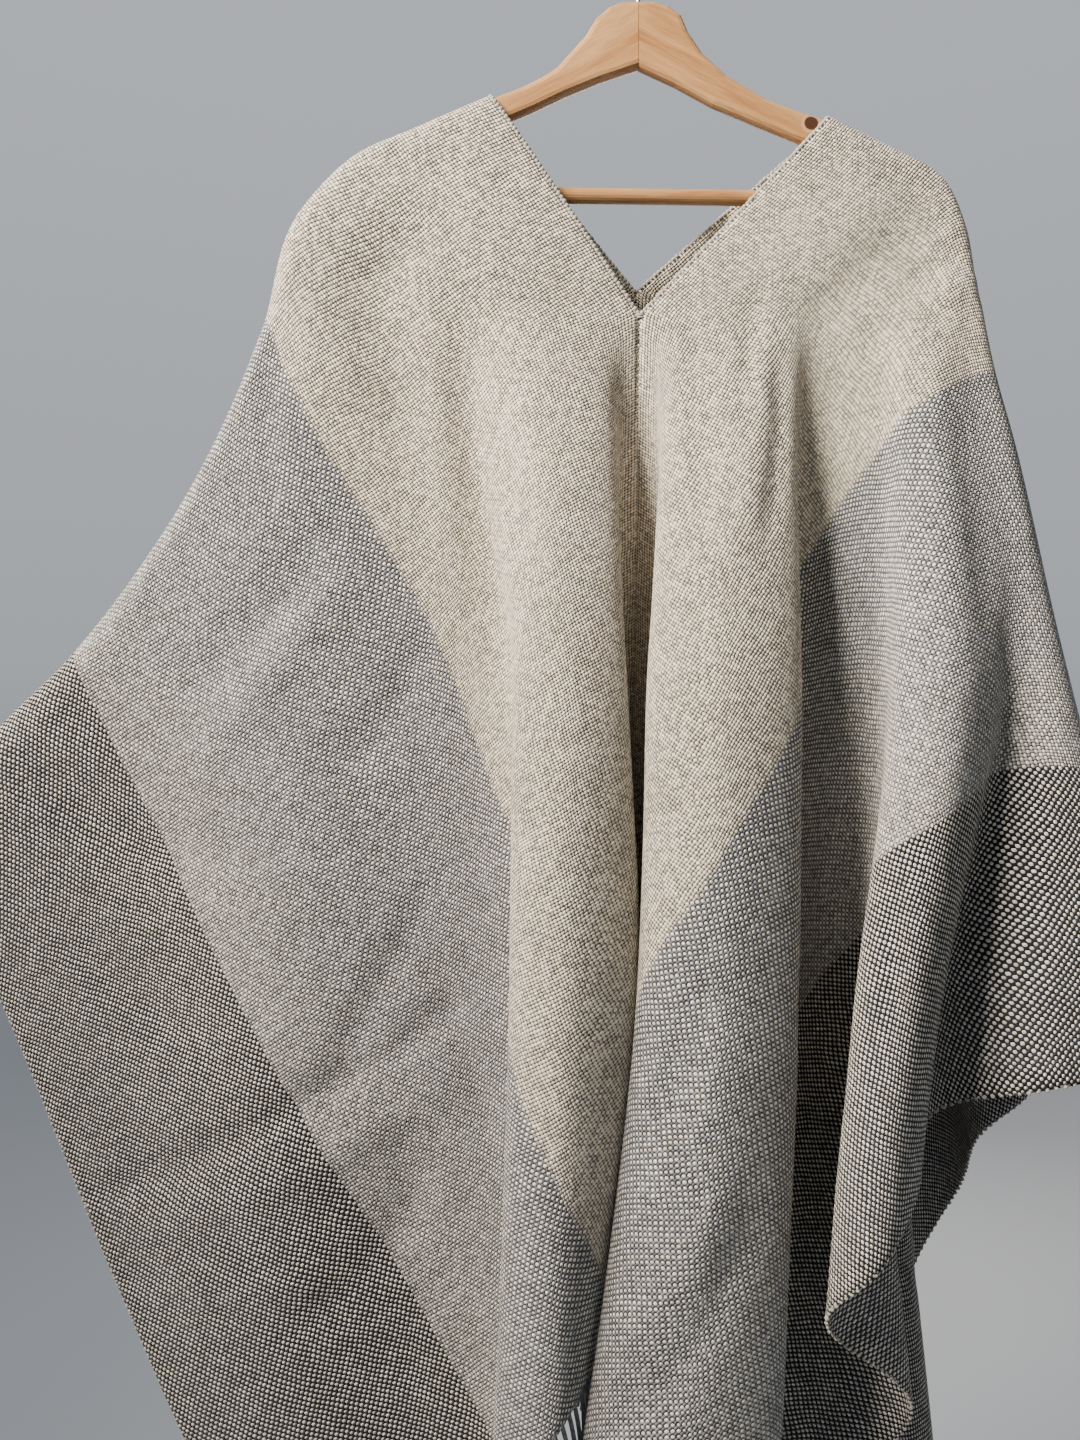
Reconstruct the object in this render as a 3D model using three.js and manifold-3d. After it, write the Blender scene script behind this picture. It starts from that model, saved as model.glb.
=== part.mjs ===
// Poncho of two woven lengths, hung from its shoulders on a wooden hanger.
// Millimetres, +X to the wearer's side that shows on the right, +Y to the wall, +Z up.
// The hook's bearing point is the origin.
import * as THREE from 'three';
import { mergeVertices } from 'three/addons/utils/BufferGeometryUtils.js';
import Module from 'manifold-3d';

const wasm = await Module();
wasm.setup();

// Cloth, as cut
const PANEL_WIDTH = 736;
const HALF_LENGTH = 880;
const SLIT_HALF = 190;
const CLOTH_THICK = 2.2;
const SEAM_GAP = 0.32;
const APEX_Z_FRONT = -306;
const APEX_Z_BACK = -275;

// Fringe
const STRIP_INSET = 4;
const STRAND_WIDTH = 3.5;
const STRAND_LENGTH = 72;
const STRAND_SWAY = 1.5;
const STRAND_LEVELS = [0.4, 1];
const STRIP_WIDTH = 3.5;
const STRIP_GAP = 1;

// Mesh of the cloth
const COLUMNS = 26;
const ROLL_STEPS = [0, 0.25, 0.5, 0.75, 1];
const HALF_ROWS = 20;

// Hanger
const ARM_THICK = 11;
const ARM_ROUND = 4.5;
const BAR_RADIUS = 5.5;
const WIRE_RADIUS = 1.9;

const radians = (deg) => (deg * Math.PI) / 180;
const lerp = (a, b, f) => a + (b - a) * f;

function smooth(a, b, x) {
  const f = Math.min(1, Math.max(0, (x - a) / (b - a)));
  return f * f * (3 - 2 * f);
}

// A smooth curve through the points (xs, ys), straight beyond its ends
function curve(xs, ys, x) {
  const n = xs.length;
  const rise = (k) => (ys[k + 1] - ys[k]) / (xs[k + 1] - xs[k]);
  if (x <= xs[0]) {
    return ys[0] + rise(0) * (x - xs[0]);
  }
  if (x >= xs[n - 1]) {
    return ys[n - 1] + rise(n - 2) * (x - xs[n - 1]);
  }
  let i = 0;
  while (x > xs[i + 1]) {
    i += 1;
  }
  const slope = (k) => {
    if (k === 0) {
      return rise(0);
    }
    if (k === n - 1) {
      return rise(n - 2);
    }
    const after = xs[k + 1] - xs[k];
    const before = xs[k] - xs[k - 1];
    return (rise(k - 1) * after + rise(k) * before) / (after + before);
  };
  const h = xs[i + 1] - xs[i];
  const f = (x - xs[i]) / h;
  const f2 = f * f;
  const f3 = f2 * f;
  return (2 * f3 - 3 * f2 + 1) * ys[i] + (f3 - 2 * f2 + f) * h * slope(i)
    + (3 * f2 - 2 * f3) * ys[i + 1] + (f3 - f2) * h * slope(i + 1);
}

// Where each panel turns from its front to its back: over the hanger's arm, then free.
// s is the distance from the neck edge across the cloth; t is along it from its middle.
const FOLD_LEFT = [
  { s: 0, x: -110, z: -140.5, y: 0, roll: 8.5, t: -11 },
  { s: 60, x: -164, z: -163.5, y: 0, roll: 8.5, t: -13 },
  { s: 118, x: -214, z: -187.5, y: 0, roll: 8.7, t: -16 },
  { s: 165, x: -251, z: -223, y: 6, roll: 13, t: -2 },
  { s: 258, x: -280, z: -305, y: 16, roll: 18, t: 34 },
  { s: 395, x: -342, z: -430, y: 32, roll: 24, t: 90 },
  { s: 530, x: -438, z: -548, y: 50, roll: 26, t: 145 },
  { s: 620, x: -504, z: -608, y: 62, roll: 24, t: 168 },
  { s: 730, x: -577, z: -690, y: 74, roll: 20, t: 185 },
];
const FOLD_RIGHT = [
  { s: 0, x: 141, z: -156, y: 0, roll: 8.5, t: -11 },
  { s: 55, x: 184, z: -177.4, y: 0, roll: 8.5, t: -9 },
  { s: 105, x: 225, z: -201.5, y: 0, roll: 8.7, t: -6 },
  { s: 140, x: 240, z: -236, y: -1, roll: 12, t: 0 },
  { s: 180, x: 246, z: -278, y: -3, roll: 16, t: 0 },
  { s: 250, x: 258, z: -352, y: -6, roll: 22, t: 0 },
  { s: 300, x: 270, z: -400, y: -8, roll: 25, t: 0 },
  { s: 430, x: 298, z: -541, y: -15, roll: 32, t: 0 },
  { s: 515, x: 317, z: -629, y: -20, roll: 36, t: 0 },
  { s: 730, x: 366, z: -838, y: -30, roll: 40, t: 0 },
];

// Level sections of each quarter, at these depths below the end of the neck slit.
// across is the run of cloth from the centre seam; x and y are the place in plan.
const DEPTHS = [0, 250, 500, 800];
const PLAN_LEFT_FRONT = [
  { name: 'seam', across: [0, 0, 0, 0], x: [0, -3, -6, -10], y: [-14, 4, 18, 20] },
  { name: 'wall_back', across: [8, 30, 62, 120], x: [-8, -24, -52, -70], y: [-15, -8, 6, 5] },
  { name: 'wall_front', across: [16, 62, 125, 245], x: [-16, -22, -48, -52], y: [-16, -28, -36, -38] },
  { name: 'tube_inner', across: [26, 95, 188, 365], x: [-26, -14, -6, -46], y: [-17, -52, -56, -68] },
  { name: 'tube_crest', across: [60, 150, 242, 425], x: [-60, -52, -54, -68], y: [-20, -72, -92, -98] },
  { name: 'tube_outer', across: [92, 205, 297, 480], x: [-92, -91, -93, -103], y: [-20, -52, -64, -72] },
  { name: 'tuck', across: [105, 225, 342, 550], x: [-105, -99, -68, -86], y: [-18, -36, -38, -45] },
  { name: 'tuck_end', across: [120, 250, 392, 612], x: [-120, -112, -98, -104], y: [-16, -24, -18, -18] },
  { name: 'flap_1', across: [150, 312, 474, 669], x: [-150, -150, -152, -156], y: [-14, -14, -8, -5] },
  { name: 'flap_2', across: [260, 422, 584, 779], x: [-252, -256, -258, -264], y: [-12, -8, -8, -6] },
  { name: 'flap_3', across: [400, 562, 724, 919], x: [-374, -378, -385, -402], y: [6, 20, 34, 38] },
  { name: 'flap_4', across: [560, 722, 884, 1079], x: [-505, -508, -515, -540], y: [30, 48, 66, 70] },
];
const PLAN_RIGHT_FRONT = [
  { name: 'seam', across: [0, 0, 0, 0], x: [0, -3, -6, -10], y: [-14, 4, 18, 20] },
  { name: 'wall_back', across: [8, 50, 105, 170], x: [8, 22, 40, 42], y: [-15, -8, 4, 4] },
  { name: 'wall_front', across: [16, 100, 210, 340], x: [16, 14, 30, 22], y: [-16, -30, -40, -48] },
  { name: 'tube_inner', across: [26, 152, 315, 509], x: [26, 4, -5, -40], y: [-17, -54, -71, -90] },
  { name: 'tube_crest', across: [66, 218, 380, 575], x: [66, 54, 48, 22], y: [-21, -76, -96, -106] },
  { name: 'tube_outer', across: [108, 284, 446, 641], x: [108, 107, 102, 86], y: [-20, -52, -66, -76] },
  { name: 'tuck', across: [130, 330, 525, 728], x: [126, 96, 66, 56], y: [-16, -16, -8, -4] },
  { name: 'tuck_end', across: [150, 372, 590, 778], x: [142, 122, 104, 96], y: [-16, -6, 12, 16] },
  { name: 'floor', across: [170, 420, 640, 834], x: [158, 146, 132, 148], y: [-19, -14, 8, 10] },
  { name: 'side_hollow', across: [187, 475, 700, 892], x: [173, 174, 170, 196], y: [-20, -26, -16, -18] },
  { name: 'side_inner', across: [205, 517, 765, 992], x: [188, 174, 137, 108], y: [-24, -60, -76, -82] },
  { name: 'side_crest', across: [223, 560, 815, 1040], x: [203, 203, 160, 128], y: [-27, -78, -106, -106] },
  { name: 'side_outer', across: [241, 603, 865, 1096], x: [218, 234, 190, 158], y: [-26, -62, -80, -80] },
  { name: 'side_dip', across: [252, 630, 905, 1150], x: [226, 248, 202, 176], y: [-24, -52, -46, -50] },
  { name: 'flank', across: [268, 662, 990, 1400], x: [238, 270, 268, 235], y: [-21, -56, -74, -75] },
  { name: 'fold', across: [294, 706, 1117, 1610], x: [253, 301, 358, 330], y: [-18, -47, -70, -65] },
];

// The hidden back falls in rows of upright folds that widen downwards.
// reach is the plan x of the outer fold; near and far are the y of the folds' dips and crests;
// outer is how much further back the dips lie at the outer fold.
const BACK_LEFT = {
  folds: 4.5, drift: 1.7, reach: [-277, -432, -570, -640], near: [22, 42, 42, 44], far: [27, 78, 104, 108],
  outer: [2, 22, 44, 48],
};
const BACK_RIGHT = {
  folds: 4, drift: 2.3, reach: [252, 302, 362, 420], near: [22, 38, 39, 41], far: [27, 72, 107, 110],
  outer: [0, 0, 0, 0],
};
const BACK_SEAM_X = [0, -2, -4, -6];

// How unlike each other the folds of the back are: how far they wander, as a share of the width;
// how much shallower some are, and how often that comes; how far they lean over, and at what depths
const WANDER = 0.014;
const SHALLOWER = 0.25;
const SHALLOW_TURNS = 2.3;
const LEAN_OVER = 0.11;
const LEAN_DEPTHS = [150, 500];
const LEFT_BACK_SPREAD = 18;

// Above the slit's end the cloth draws in towards the neck; it would lie flat at this height
const FLAT_HEIGHT = 900;

// A quarter is the front or the back of one panel. face is +1 at the front.
// lean is how far its long threads turn from upright; neck is the slant of its neck edge.
// Where it has a tip, the cloth hangs from the hanger's tip in a fan down to its fold.
const QUARTERS = {
  leftFront: {
    side: -1, face: 1, fold: FOLD_LEFT, plan: PLAN_LEFT_FRONT, apexZ: APEX_Z_FRONT, lean: 33, neck: 33,
  },
  rightFront: {
    side: 1, face: 1, fold: FOLD_RIGHT, plan: PLAN_RIGHT_FRONT, apexZ: APEX_Z_FRONT, lean: 33, neck: 44,
    tip: { s: 105, t: -6 },
  },
  leftBack: {
    side: -1, face: -1, fold: FOLD_LEFT, pleats: BACK_LEFT, apexZ: APEX_Z_BACK, lean: 31.5, neck: 40,
    tip: { s: 118, t: 16 },
  },
  rightBack: {
    side: 1, face: -1, fold: FOLD_RIGHT, pleats: BACK_RIGHT, apexZ: APEX_Z_BACK, lean: 41, neck: 49,
    tip: { s: 105, t: 0 },
  },
};
const SEAM_LEAN = 33;

function foldAt(quarter, s) {
  const rows = quarter.fold;
  const along = rows.map((row) => row.s);
  const value = (key) => curve(along, rows.map((row) => row[key]), s);
  return { x: value('x'), y: value('y'), z: value('z'), roll: value('roll'), t: value('t') * quarter.face };
}

// How far the cloth has come down, and out, after the length tau beyond its fold
const RELAX = 120;
function rolled(tau, roll) {
  const quarterTurn = (roll * Math.PI) / 2;
  if (tau < quarterTurn) {
    return { down: roll * (1 - Math.cos(tau / roll)), out: Math.sin(tau / roll) };
  }
  const lost = quarterTurn - roll;
  return { down: tau - lost + lost * smooth(quarterTurn, quarterTurn + RELAX, tau), out: 1 };
}

// Height, and run across from the seam, of a point of the cloth laid out flat
function hung(quarter, s, t) {
  const lean = radians(quarter.lean);
  const plumb = quarter.apexZ - s * Math.sin(lean) - (t - SLIT_HALF) * Math.cos(lean);
  const level = { z: plumb, across: s / Math.cos(lean) };
  if (!quarter.tip) {
    return level;
  }
  const { tip } = quarter;
  const tipZ = quarter.apexZ - tip.s * Math.sin(lean) - (tip.t - SLIT_HALF) * Math.cos(lean);
  const angle = Math.atan2(t - tip.t, s - tip.s);
  const edge = Math.PI / 2 - lean;
  if (s <= tip.s || angle >= edge) {
    return level;
  }
  const radius = Math.hypot(t - tip.t, s - tip.s);
  const start = (tip.s + radius * Math.sin(lean)) / Math.cos(lean);
  return { z: tipZ - radius, across: start + radius * (edge - angle) };
}

function seamHeight(quarter, t) {
  const top = quarter.fold[0].z;
  const first = quarter.fold[0].t * quarter.face;
  if (t < SLIT_HALF) {
    return lerp(top, quarter.apexZ, (t - first) / (SLIT_HALF - first));
  }
  return quarter.apexZ - Math.cos(radians(SEAM_LEAN)) * (t - SLIT_HALF);
}

// Run across at the fold, at a depth below the slit
function foldRun(quarter, depth) {
  const lean = radians(quarter.lean);
  const drop = Math.max(depth, 0) + SLIT_HALF * Math.cos(lean) - quarter.tip.s * Math.sin(lean)
    - quarter.tip.t * Math.cos(lean);
  const turned = Math.PI / 2 - lean + (quarter.side < 0 ? radians(LEFT_BACK_SPREAD) : 0);
  return (quarter.tip.s + drop * Math.sin(lean)) / Math.cos(lean) + drop * turned;
}

const TAU = Math.PI * 2;
function pleatAt(quarter, across, level) {
  const { folds, drift, reach, near, far, outer } = quarter.pleats;
  const share = across / foldRun(quarter, level);
  const turn = TAU * folds * (share + WANDER * Math.sin(TAU * drift * share));
  const low = curve(DEPTHS, near, level);
  const high = curve(DEPTHS, far, level);
  const back = curve(DEPTHS, outer, level) * Math.min(share, 1) ** 2;
  const width = curve(DEPTHS, reach, level) / folds;
  const swing = 0.5 - 0.5 * Math.cos(turn);
  const uneven = 1 - SHALLOWER * (0.5 + 0.5 * Math.sin(TAU * SHALLOW_TURNS * share + 2 * quarter.side));
  const over = smooth(...LEAN_DEPTHS, level) * LEAN_OVER * width * Math.sin(2 * turn);
  const seamX = curve(DEPTHS, BACK_SEAM_X, level);
  return {
    x: seamX + (curve(DEPTHS, reach, level) - seamX) * share + over,
    y: low + back + (high - low - 0.6 * back) * swing * uneven,
  };
}

function planAt(quarter, across, depth) {
  const level = Math.max(depth, 0);
  let place;
  if (quarter.pleats) {
    place = pleatAt(quarter, across, level);
  } else {
    const at = (key) => quarter.plan.map((row) => curve(DEPTHS, row[key], level));
    const run = at('across');
    place = { x: curve(run, at('x'), across), y: curve(run, at('y'), across) };
  }
  if (depth < 0) {
    place.x -= quarter.side * Math.tan(radians(quarter.neck)) * depth;
    place.y *= 1 + depth / FLAT_HEIGHT;
  }
  return place;
}

// The middle of the cloth's thickness at (s, t); t grows from the shoulder to the hem
const SEAM_REACH = 260;
const FOLD_REACH = 60;
function clothPlace(quarter, s, t) {
  const fold = foldAt(quarter, s);
  const tau = t - fold.t;
  const bend = rolled(tau, fold.roll);
  const eased = fold.t + bend.down;
  const here = hung(quarter, s, eased);
  const pull = (1 - Math.min(1, s / SEAM_REACH)) ** 2;
  const seam = (seamHeight(quarter, eased) - hung(quarter, 0, eased).z) * pull;
  const atFold = hung(quarter, s, fold.t);
  const seamAtFold = (seamHeight(quarter, fold.t) - hung(quarter, 0, fold.t).z) * pull;
  const fade = Math.exp(-bend.down / FOLD_REACH);
  const z = here.z + seam + (fold.z - atFold.z - seamAtFold) * fade;
  return { across: here.across, depth: quarter.apexZ - z, fold, bend, fade, foldAcross: atFold.across };
}

function clothPoint(quarter, s, t, drop = 0) {
  const { across, depth, fold, bend, fade, foldAcross } = clothPlace(quarter, s, t);
  const place = planAt(quarter, across, depth + drop);
  const atFold = planAt(quarter, foldAcross, quarter.apexZ - fold.z);
  const x = place.x + (fold.x - atFold.x) * fade;
  const flat = place.y + (fold.y - quarter.face * fold.roll - atFold.y) * fade;
  const y = fold.y + (flat - fold.y) * bend.out;
  return new THREE.Vector3(x, y, quarter.apexZ - depth - drop);
}

function mesh(name, geometry, color, roughness, metalness = 0) {
  const material = new THREE.MeshStandardMaterial({ color, roughness, metalness });
  material.name = `${name}_material`;
  const made = new THREE.Mesh(geometry, material);
  made.name = name;
  return made;
}

function geometryOf(points, faces) {
  const geometry = new THREE.BufferGeometry();
  const places = points.flatMap((p) => [p.x, p.y, p.z]);
  geometry.setAttribute('position', new THREE.Float32BufferAttribute(places, 3));
  geometry.setIndex(faces.flat());
  geometry.computeVertexNormals();
  return geometry;
}

// A closed wall round a grid of middle points; grid[row][column], normals away from the body.
// Each facet is cut along the folds, which slant one way in the front half and the other behind.
function wall(grid, normals, thickness) {
  const rows = grid.length;
  const columns = grid[0].length;
  const half = thickness / 2;
  const points = [];
  for (const sign of [1, -1]) {
    for (let r = 0; r < rows; r += 1) {
      for (let c = 0; c < columns; c += 1) {
        points.push(grid[r][c].clone().addScaledVector(normals[r][c], sign * half));
      }
    }
  }
  const layer = rows * columns;
  const id = (r, c, inner) => r * columns + c + (inner ? layer : 0);
  const faces = [];
  const quad = (a, b, c, d) => faces.push([a, b, c], [a, c, d]);
  for (let r = 0; r < rows - 1; r += 1) {
    for (let c = 0; c < columns - 1; c += 1) {
      const corners = [[r, c], [r, c + 1], [r + 1, c + 1], [r + 1, c]];
      if (2 * r < rows - 1) {
        corners.push(corners.shift());
      }
      quad(...corners.map(([i, j]) => id(i, j)));
      const [first, ...others] = corners;
      quad(...[first, ...others.reverse()].map(([i, j]) => id(i, j, true)));
    }
  }
  for (let r = 0; r < rows - 1; r += 1) {
    quad(id(r, 0), id(r + 1, 0), id(r + 1, 0, true), id(r, 0, true));
    quad(id(r, columns - 1), id(r, columns - 1, true), id(r + 1, columns - 1, true), id(r + 1, columns - 1));
  }
  for (let c = 0; c < columns - 1; c += 1) {
    quad(id(0, c), id(0, c, true), id(0, c + 1, true), id(0, c + 1));
    quad(id(rows - 1, c), id(rows - 1, c + 1), id(rows - 1, c + 1, true), id(rows - 1, c, true));
  }
  return { points, faces };
}

function flip(faces) {
  return faces.map(([a, b, c]) => [a, c, b]);
}

// Lengths beyond the fold at which a panel has a row of points: close at the roll, then even
function rowTaus(roll, length) {
  const turn = (roll * Math.PI) / 2;
  const taus = ROLL_STEPS.map((f) => f * turn);
  for (let i = 1; i <= HALF_ROWS; i += 1) {
    taus.push(lerp(turn, length, i / HALF_ROWS));
  }
  return taus;
}

function panelGrid(front, back) {
  const grid = [];
  const stations = [];
  const last = ROLL_STEPS.length - 1 + HALF_ROWS;
  for (let k = -last; k <= last; k += 1) {
    const row = [];
    const stationRow = [];
    for (let c = 0; c <= COLUMNS; c += 1) {
      const s = (PANEL_WIDTH * c) / COLUMNS;
      const quarter = k > 0 ? back : front;
      const fold = foldAt(quarter, s);
      const tau = rowTaus(fold.roll, HALF_LENGTH - fold.t)[Math.abs(k)];
      const t = fold.t + tau;
      row.push(clothPoint(quarter, s, t));
      stationRow.push({ quarter, s, t });
    }
    grid.push(row);
    stations.push(stationRow);
  }
  return { grid, stations };
}

// Outward directions of a grid, from the runs of its rows and columns
function gridNormals(grid, sign) {
  const rows = grid.length;
  const columns = grid[0].length;
  return grid.map((row, r) => row.map((_, c) => {
    const down = grid[Math.min(r + 1, rows - 1)][c].clone().sub(grid[Math.max(r - 1, 0)][c]);
    const along = grid[r][Math.min(c + 1, columns - 1)].clone().sub(grid[r][Math.max(c - 1, 0)]);
    return along.cross(down).multiplyScalar(sign).normalize();
  }));
}

function sheetOf(front, back) {
  const { grid, stations } = panelGrid(front, back);
  const normals = gridNormals(grid, front.side);
  for (let r = 0; r < grid.length; r += 1) {
    const { quarter, t } = stations[r][0];
    if (t >= SLIT_HALF - 1) {
      normals[r][0].set(0, -quarter.face, 0);
      grid[r][0].x += (quarter.side * SEAM_GAP) / 2;
    }
  }
  return { grid, normals };
}

function panel(sheet, side) {
  const { points, faces } = wall(sheet.grid, sheet.normals, CLOTH_THICK);
  return geometryOf(points, side < 0 ? flip(faces) : faces);
}

// The hem's points on both faces of the panel, and the way the cloth runs there
function hemOf(sheet, quarter) {
  const last = sheet.grid.length - 1;
  const row = quarter.face > 0 ? 0 : last;
  const before = quarter.face > 0 ? 1 : last - 1;
  return sheet.grid[row].map((point, c) => {
    const run = point.clone().sub(sheet.grid[before][c]).normalize();
    const out = sheet.normals[row][c];
    const face = (sign) => point.clone().addScaledVector(out, (sign * CLOTH_THICK) / 2);
    return { faces: [face(1), face(-1)], run };
  });
}

// A strip just off the hem, with a strand for each facet growing out of its lower face
function fringe(sheet, quarter) {
  const half = CLOTH_THICK / 2;
  const step = PANEL_WIDTH / COLUMNS;
  const hem = hemOf(sheet, quarter);
  const stations = [];
  for (let k = 0; k < COLUMNS; k += 1) {
    const middle = (k + 0.5) * step;
    stations.push(k === 0 ? STRIP_INSET : k * step, middle - STRAND_WIDTH / 2, middle + STRAND_WIDTH / 2);
  }
  stations.push(PANEL_WIDTH - STRIP_INSET);
  const points = [];
  for (const s of stations) {
    const column = Math.min(Math.floor(s / step), COLUMNS - 1);
    const share = s / step - column;
    for (const beyond of [STRIP_GAP, STRIP_GAP + STRIP_WIDTH]) {
      for (const side of [0, 1]) {
        const [near, far] = [hem[column], hem[column + 1]].map(({ faces: at, run }) => (
          at[side].clone().addScaledVector(run, beyond)
        ));
        points.push(near.lerp(far, share));
      }
    }
  }
  const faces = [];
  const quad = (a, b, c, d) => faces.push([a, b, c], [a, c, d]);
  const id = (c, r, inner) => 4 * c + 2 * r + inner;
  const last = stations.length - 1;
  quad(id(0, 0, 0), id(0, 1, 0), id(0, 1, 1), id(0, 0, 1));
  quad(id(last, 0, 0), id(last, 0, 1), id(last, 1, 1), id(last, 1, 0));
  for (let c = 0; c < last; c += 1) {
    quad(id(c, 0, 0), id(c + 1, 0, 0), id(c + 1, 1, 0), id(c, 1, 0));
    quad(id(c, 0, 1), id(c, 1, 1), id(c + 1, 1, 1), id(c + 1, 0, 1));
    quad(id(c, 0, 0), id(c, 0, 1), id(c + 1, 0, 1), id(c + 1, 0, 0));
    let ring = [id(c, 1, 0), id(c + 1, 1, 0), id(c + 1, 1, 1), id(c, 1, 1)];
    if (c % 3 === 1) {
      const s = (stations[c] + stations[c + 1]) / 2;
      const beyond = HALF_LENGTH + STRIP_GAP + STRIP_WIDTH;
      const root = new THREE.Vector3();
      ring.forEach((corner) => root.addScaledVector(points[corner], 0.25));
      const shift = root.sub(clothPoint(quarter, s, beyond));
      const run = points[ring[1]].clone().sub(points[ring[0]]).setZ(0).normalize();
      const out = points[ring[0]].clone().sub(points[ring[3]]).setZ(0).normalize();
      STRAND_LEVELS.forEach((f, level) => {
        const centre = clothPoint(quarter, s, beyond, f * STRAND_LENGTH);
        centre.addScaledVector(shift, 1 - f);
        centre.addScaledVector(run, STRAND_SWAY * Math.sin(c * 1.7 + level * 2.1));
        const wide = (STRAND_WIDTH / 2) * lerp(1, 0.7, f);
        const base = points.length;
        [[-1, 1], [1, 1], [1, -1], [-1, -1]].forEach(([u, v]) => {
          points.push(centre.clone().addScaledVector(run, u * wide).addScaledVector(out, v * half));
        });
        ring.forEach((corner, k) => quad(corner, ring[(k + 1) % 4], base + ((k + 1) % 4), base + k));
        ring = [base, base + 1, base + 2, base + 3];
      });
    }
    quad(...ring);
  }
  return geometryOf(points, quarter.side * quarter.face > 0 ? flip(faces) : faces);
}

// Outlines of the hanger's arms from the front, (x, z); each runs past the middle and is cut there
const MITRE_GAP = 0.3;
const MITRE_SPARE = 8;
const LEFT_ARM = [
  [MITRE_SPARE, -118.6], [0, -118.6], [-28, -128], [-53, -138.2], [-78, -150], [-103, -160.5],
  [-157, -183],
  [-178, -192], [-184, -200], [-184, -218], [-190, -223], [-206, -223], [-216, -214], [-218, -203],
  [-216, -195], [-210, -188], [-189, -177], [-164, -165.3], [-137, -153.6], [-110, -142.3], [-86, -133.1],
  [-71, -125.7], [-60, -118.3], [-52.5, -110.1], [-39.2, -95.3], [-31.8, -82.7], [-21.4, -73.9],
  [-11.8, -70.2], [0, -70], [MITRE_SPARE, -70],
];
const RIGHT_ARM = [
  [-MITRE_SPARE, -70], [0, -70], [11.9, -70.2], [22, -73], [31.8, -80], [37, -92.4],
  [47.4, -108], [65.1, -124.2],
  [93.3, -141.2], [117, -150.4], [141, -158.3], [163, -169.7], [184, -179.8], [206, -192], [219, -200.5],
  [224.5, -207], [226.5, -215], [226, -228], [219, -236.5], [203, -237.5], [196, -232], [196, -209],
  [190, -205.5], [175, -197.5], [133, -178], [115, -171.5], [55, -146.4], [27, -131], [0, -118.6],
  [-MITRE_SPARE, -118.6],
];

function solidOf(geometry) {
  const bare = new THREE.BufferGeometry();
  bare.setAttribute('position', geometry.attributes.position.clone());
  bare.setIndex(geometry.index);
  const merged = mergeVertices(bare, 1e-4);
  return new wasm.Manifold(new wasm.Mesh({
    numProp: 3,
    vertProperties: new Float32Array(merged.attributes.position.array),
    triVerts: new Uint32Array(merged.index.array),
  }));
}

function geometryFrom(solid) {
  const { numProp, vertProperties, triVerts } = solid.getMesh();
  const points = [];
  for (let i = 0; i < vertProperties.length; i += numProp) {
    points.push(new THREE.Vector3(...vertProperties.slice(i, i + 3)));
  }
  return geometryOf(points, [[...triVerts]]);
}

// An arm with rounded edges, sawn off square where the two meet
function arm(outline, side) {
  const shape = new THREE.Shape(outline.map(([x, z]) => new THREE.Vector2(x, z)));
  const geometry = new THREE.ExtrudeGeometry(shape, {
    depth: ARM_THICK - 2 * ARM_ROUND,
    bevelThickness: ARM_ROUND,
    bevelSize: ARM_ROUND,
    bevelOffset: -ARM_ROUND,
    bevelSegments: 3,
    steps: 1,
  });
  geometry.rotateX(Math.PI / 2);
  geometry.translate(0, ARM_THICK / 2 - ARM_ROUND, 0);
  const waste = new THREE.BoxGeometry(2 * MITRE_SPARE, 2 * ARM_THICK, 4 * SLIT_HALF);
  waste.translate(side * (MITRE_GAP / 2 - MITRE_SPARE), 0, 0);
  return geometryFrom(solidOf(geometry).subtract(solidOf(waste)));
}

const BAR_START = new THREE.Vector3(-183.6, 0, -210);
const BAR_END = new THREE.Vector3(195.6, 0, -215.4);
const BAR_SIDES = 20;
function bar() {
  const length = BAR_START.distanceTo(BAR_END);
  const geometry = new THREE.CylinderGeometry(BAR_RADIUS, BAR_RADIUS, length, BAR_SIDES);
  const along = BAR_END.clone().sub(BAR_START).normalize();
  geometry.applyQuaternion(new THREE.Quaternion().setFromUnitVectors(new THREE.Vector3(0, 1, 0), along));
  const middle = BAR_START.clone().add(BAR_END).multiplyScalar(0.5);
  geometry.translate(middle.x, middle.y, middle.z);
  return geometry;
}

// The hook: a stem that swings into a loop, open at the left
const HOOK_LOOP = 21.9;
const HOOK_FOOT = -69.7;
function hook() {
  const centreZ = WIRE_RADIUS - HOOK_LOOP;
  const stem = [[0, HOOK_FOOT], [0, -63], [1.2, -54], [7, -46], [14.5, -38], [20, -29]];
  const loop = [0, 25, 50, 75, 105, 130, 155, 180, 205].map((deg) => [
    HOOK_LOOP * Math.cos(radians(deg)), centreZ + HOOK_LOOP * Math.sin(radians(deg)),
  ]);
  const path = new THREE.CatmullRomCurve3([...stem, ...loop].map(([x, z]) => new THREE.Vector3(x, 0, z)));
  const sides = 8;
  const ring = [];
  for (let k = 0; k < sides; k += 1) {
    const turn = (TAU * k) / sides;
    ring.push(new THREE.Vector2(WIRE_RADIUS * Math.cos(turn), WIRE_RADIUS * Math.sin(turn)));
  }
  const section = new THREE.Shape(ring);
  return new THREE.ExtrudeGeometry(section, { steps: 40, bevelEnabled: false, extrudePath: path });
}

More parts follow.
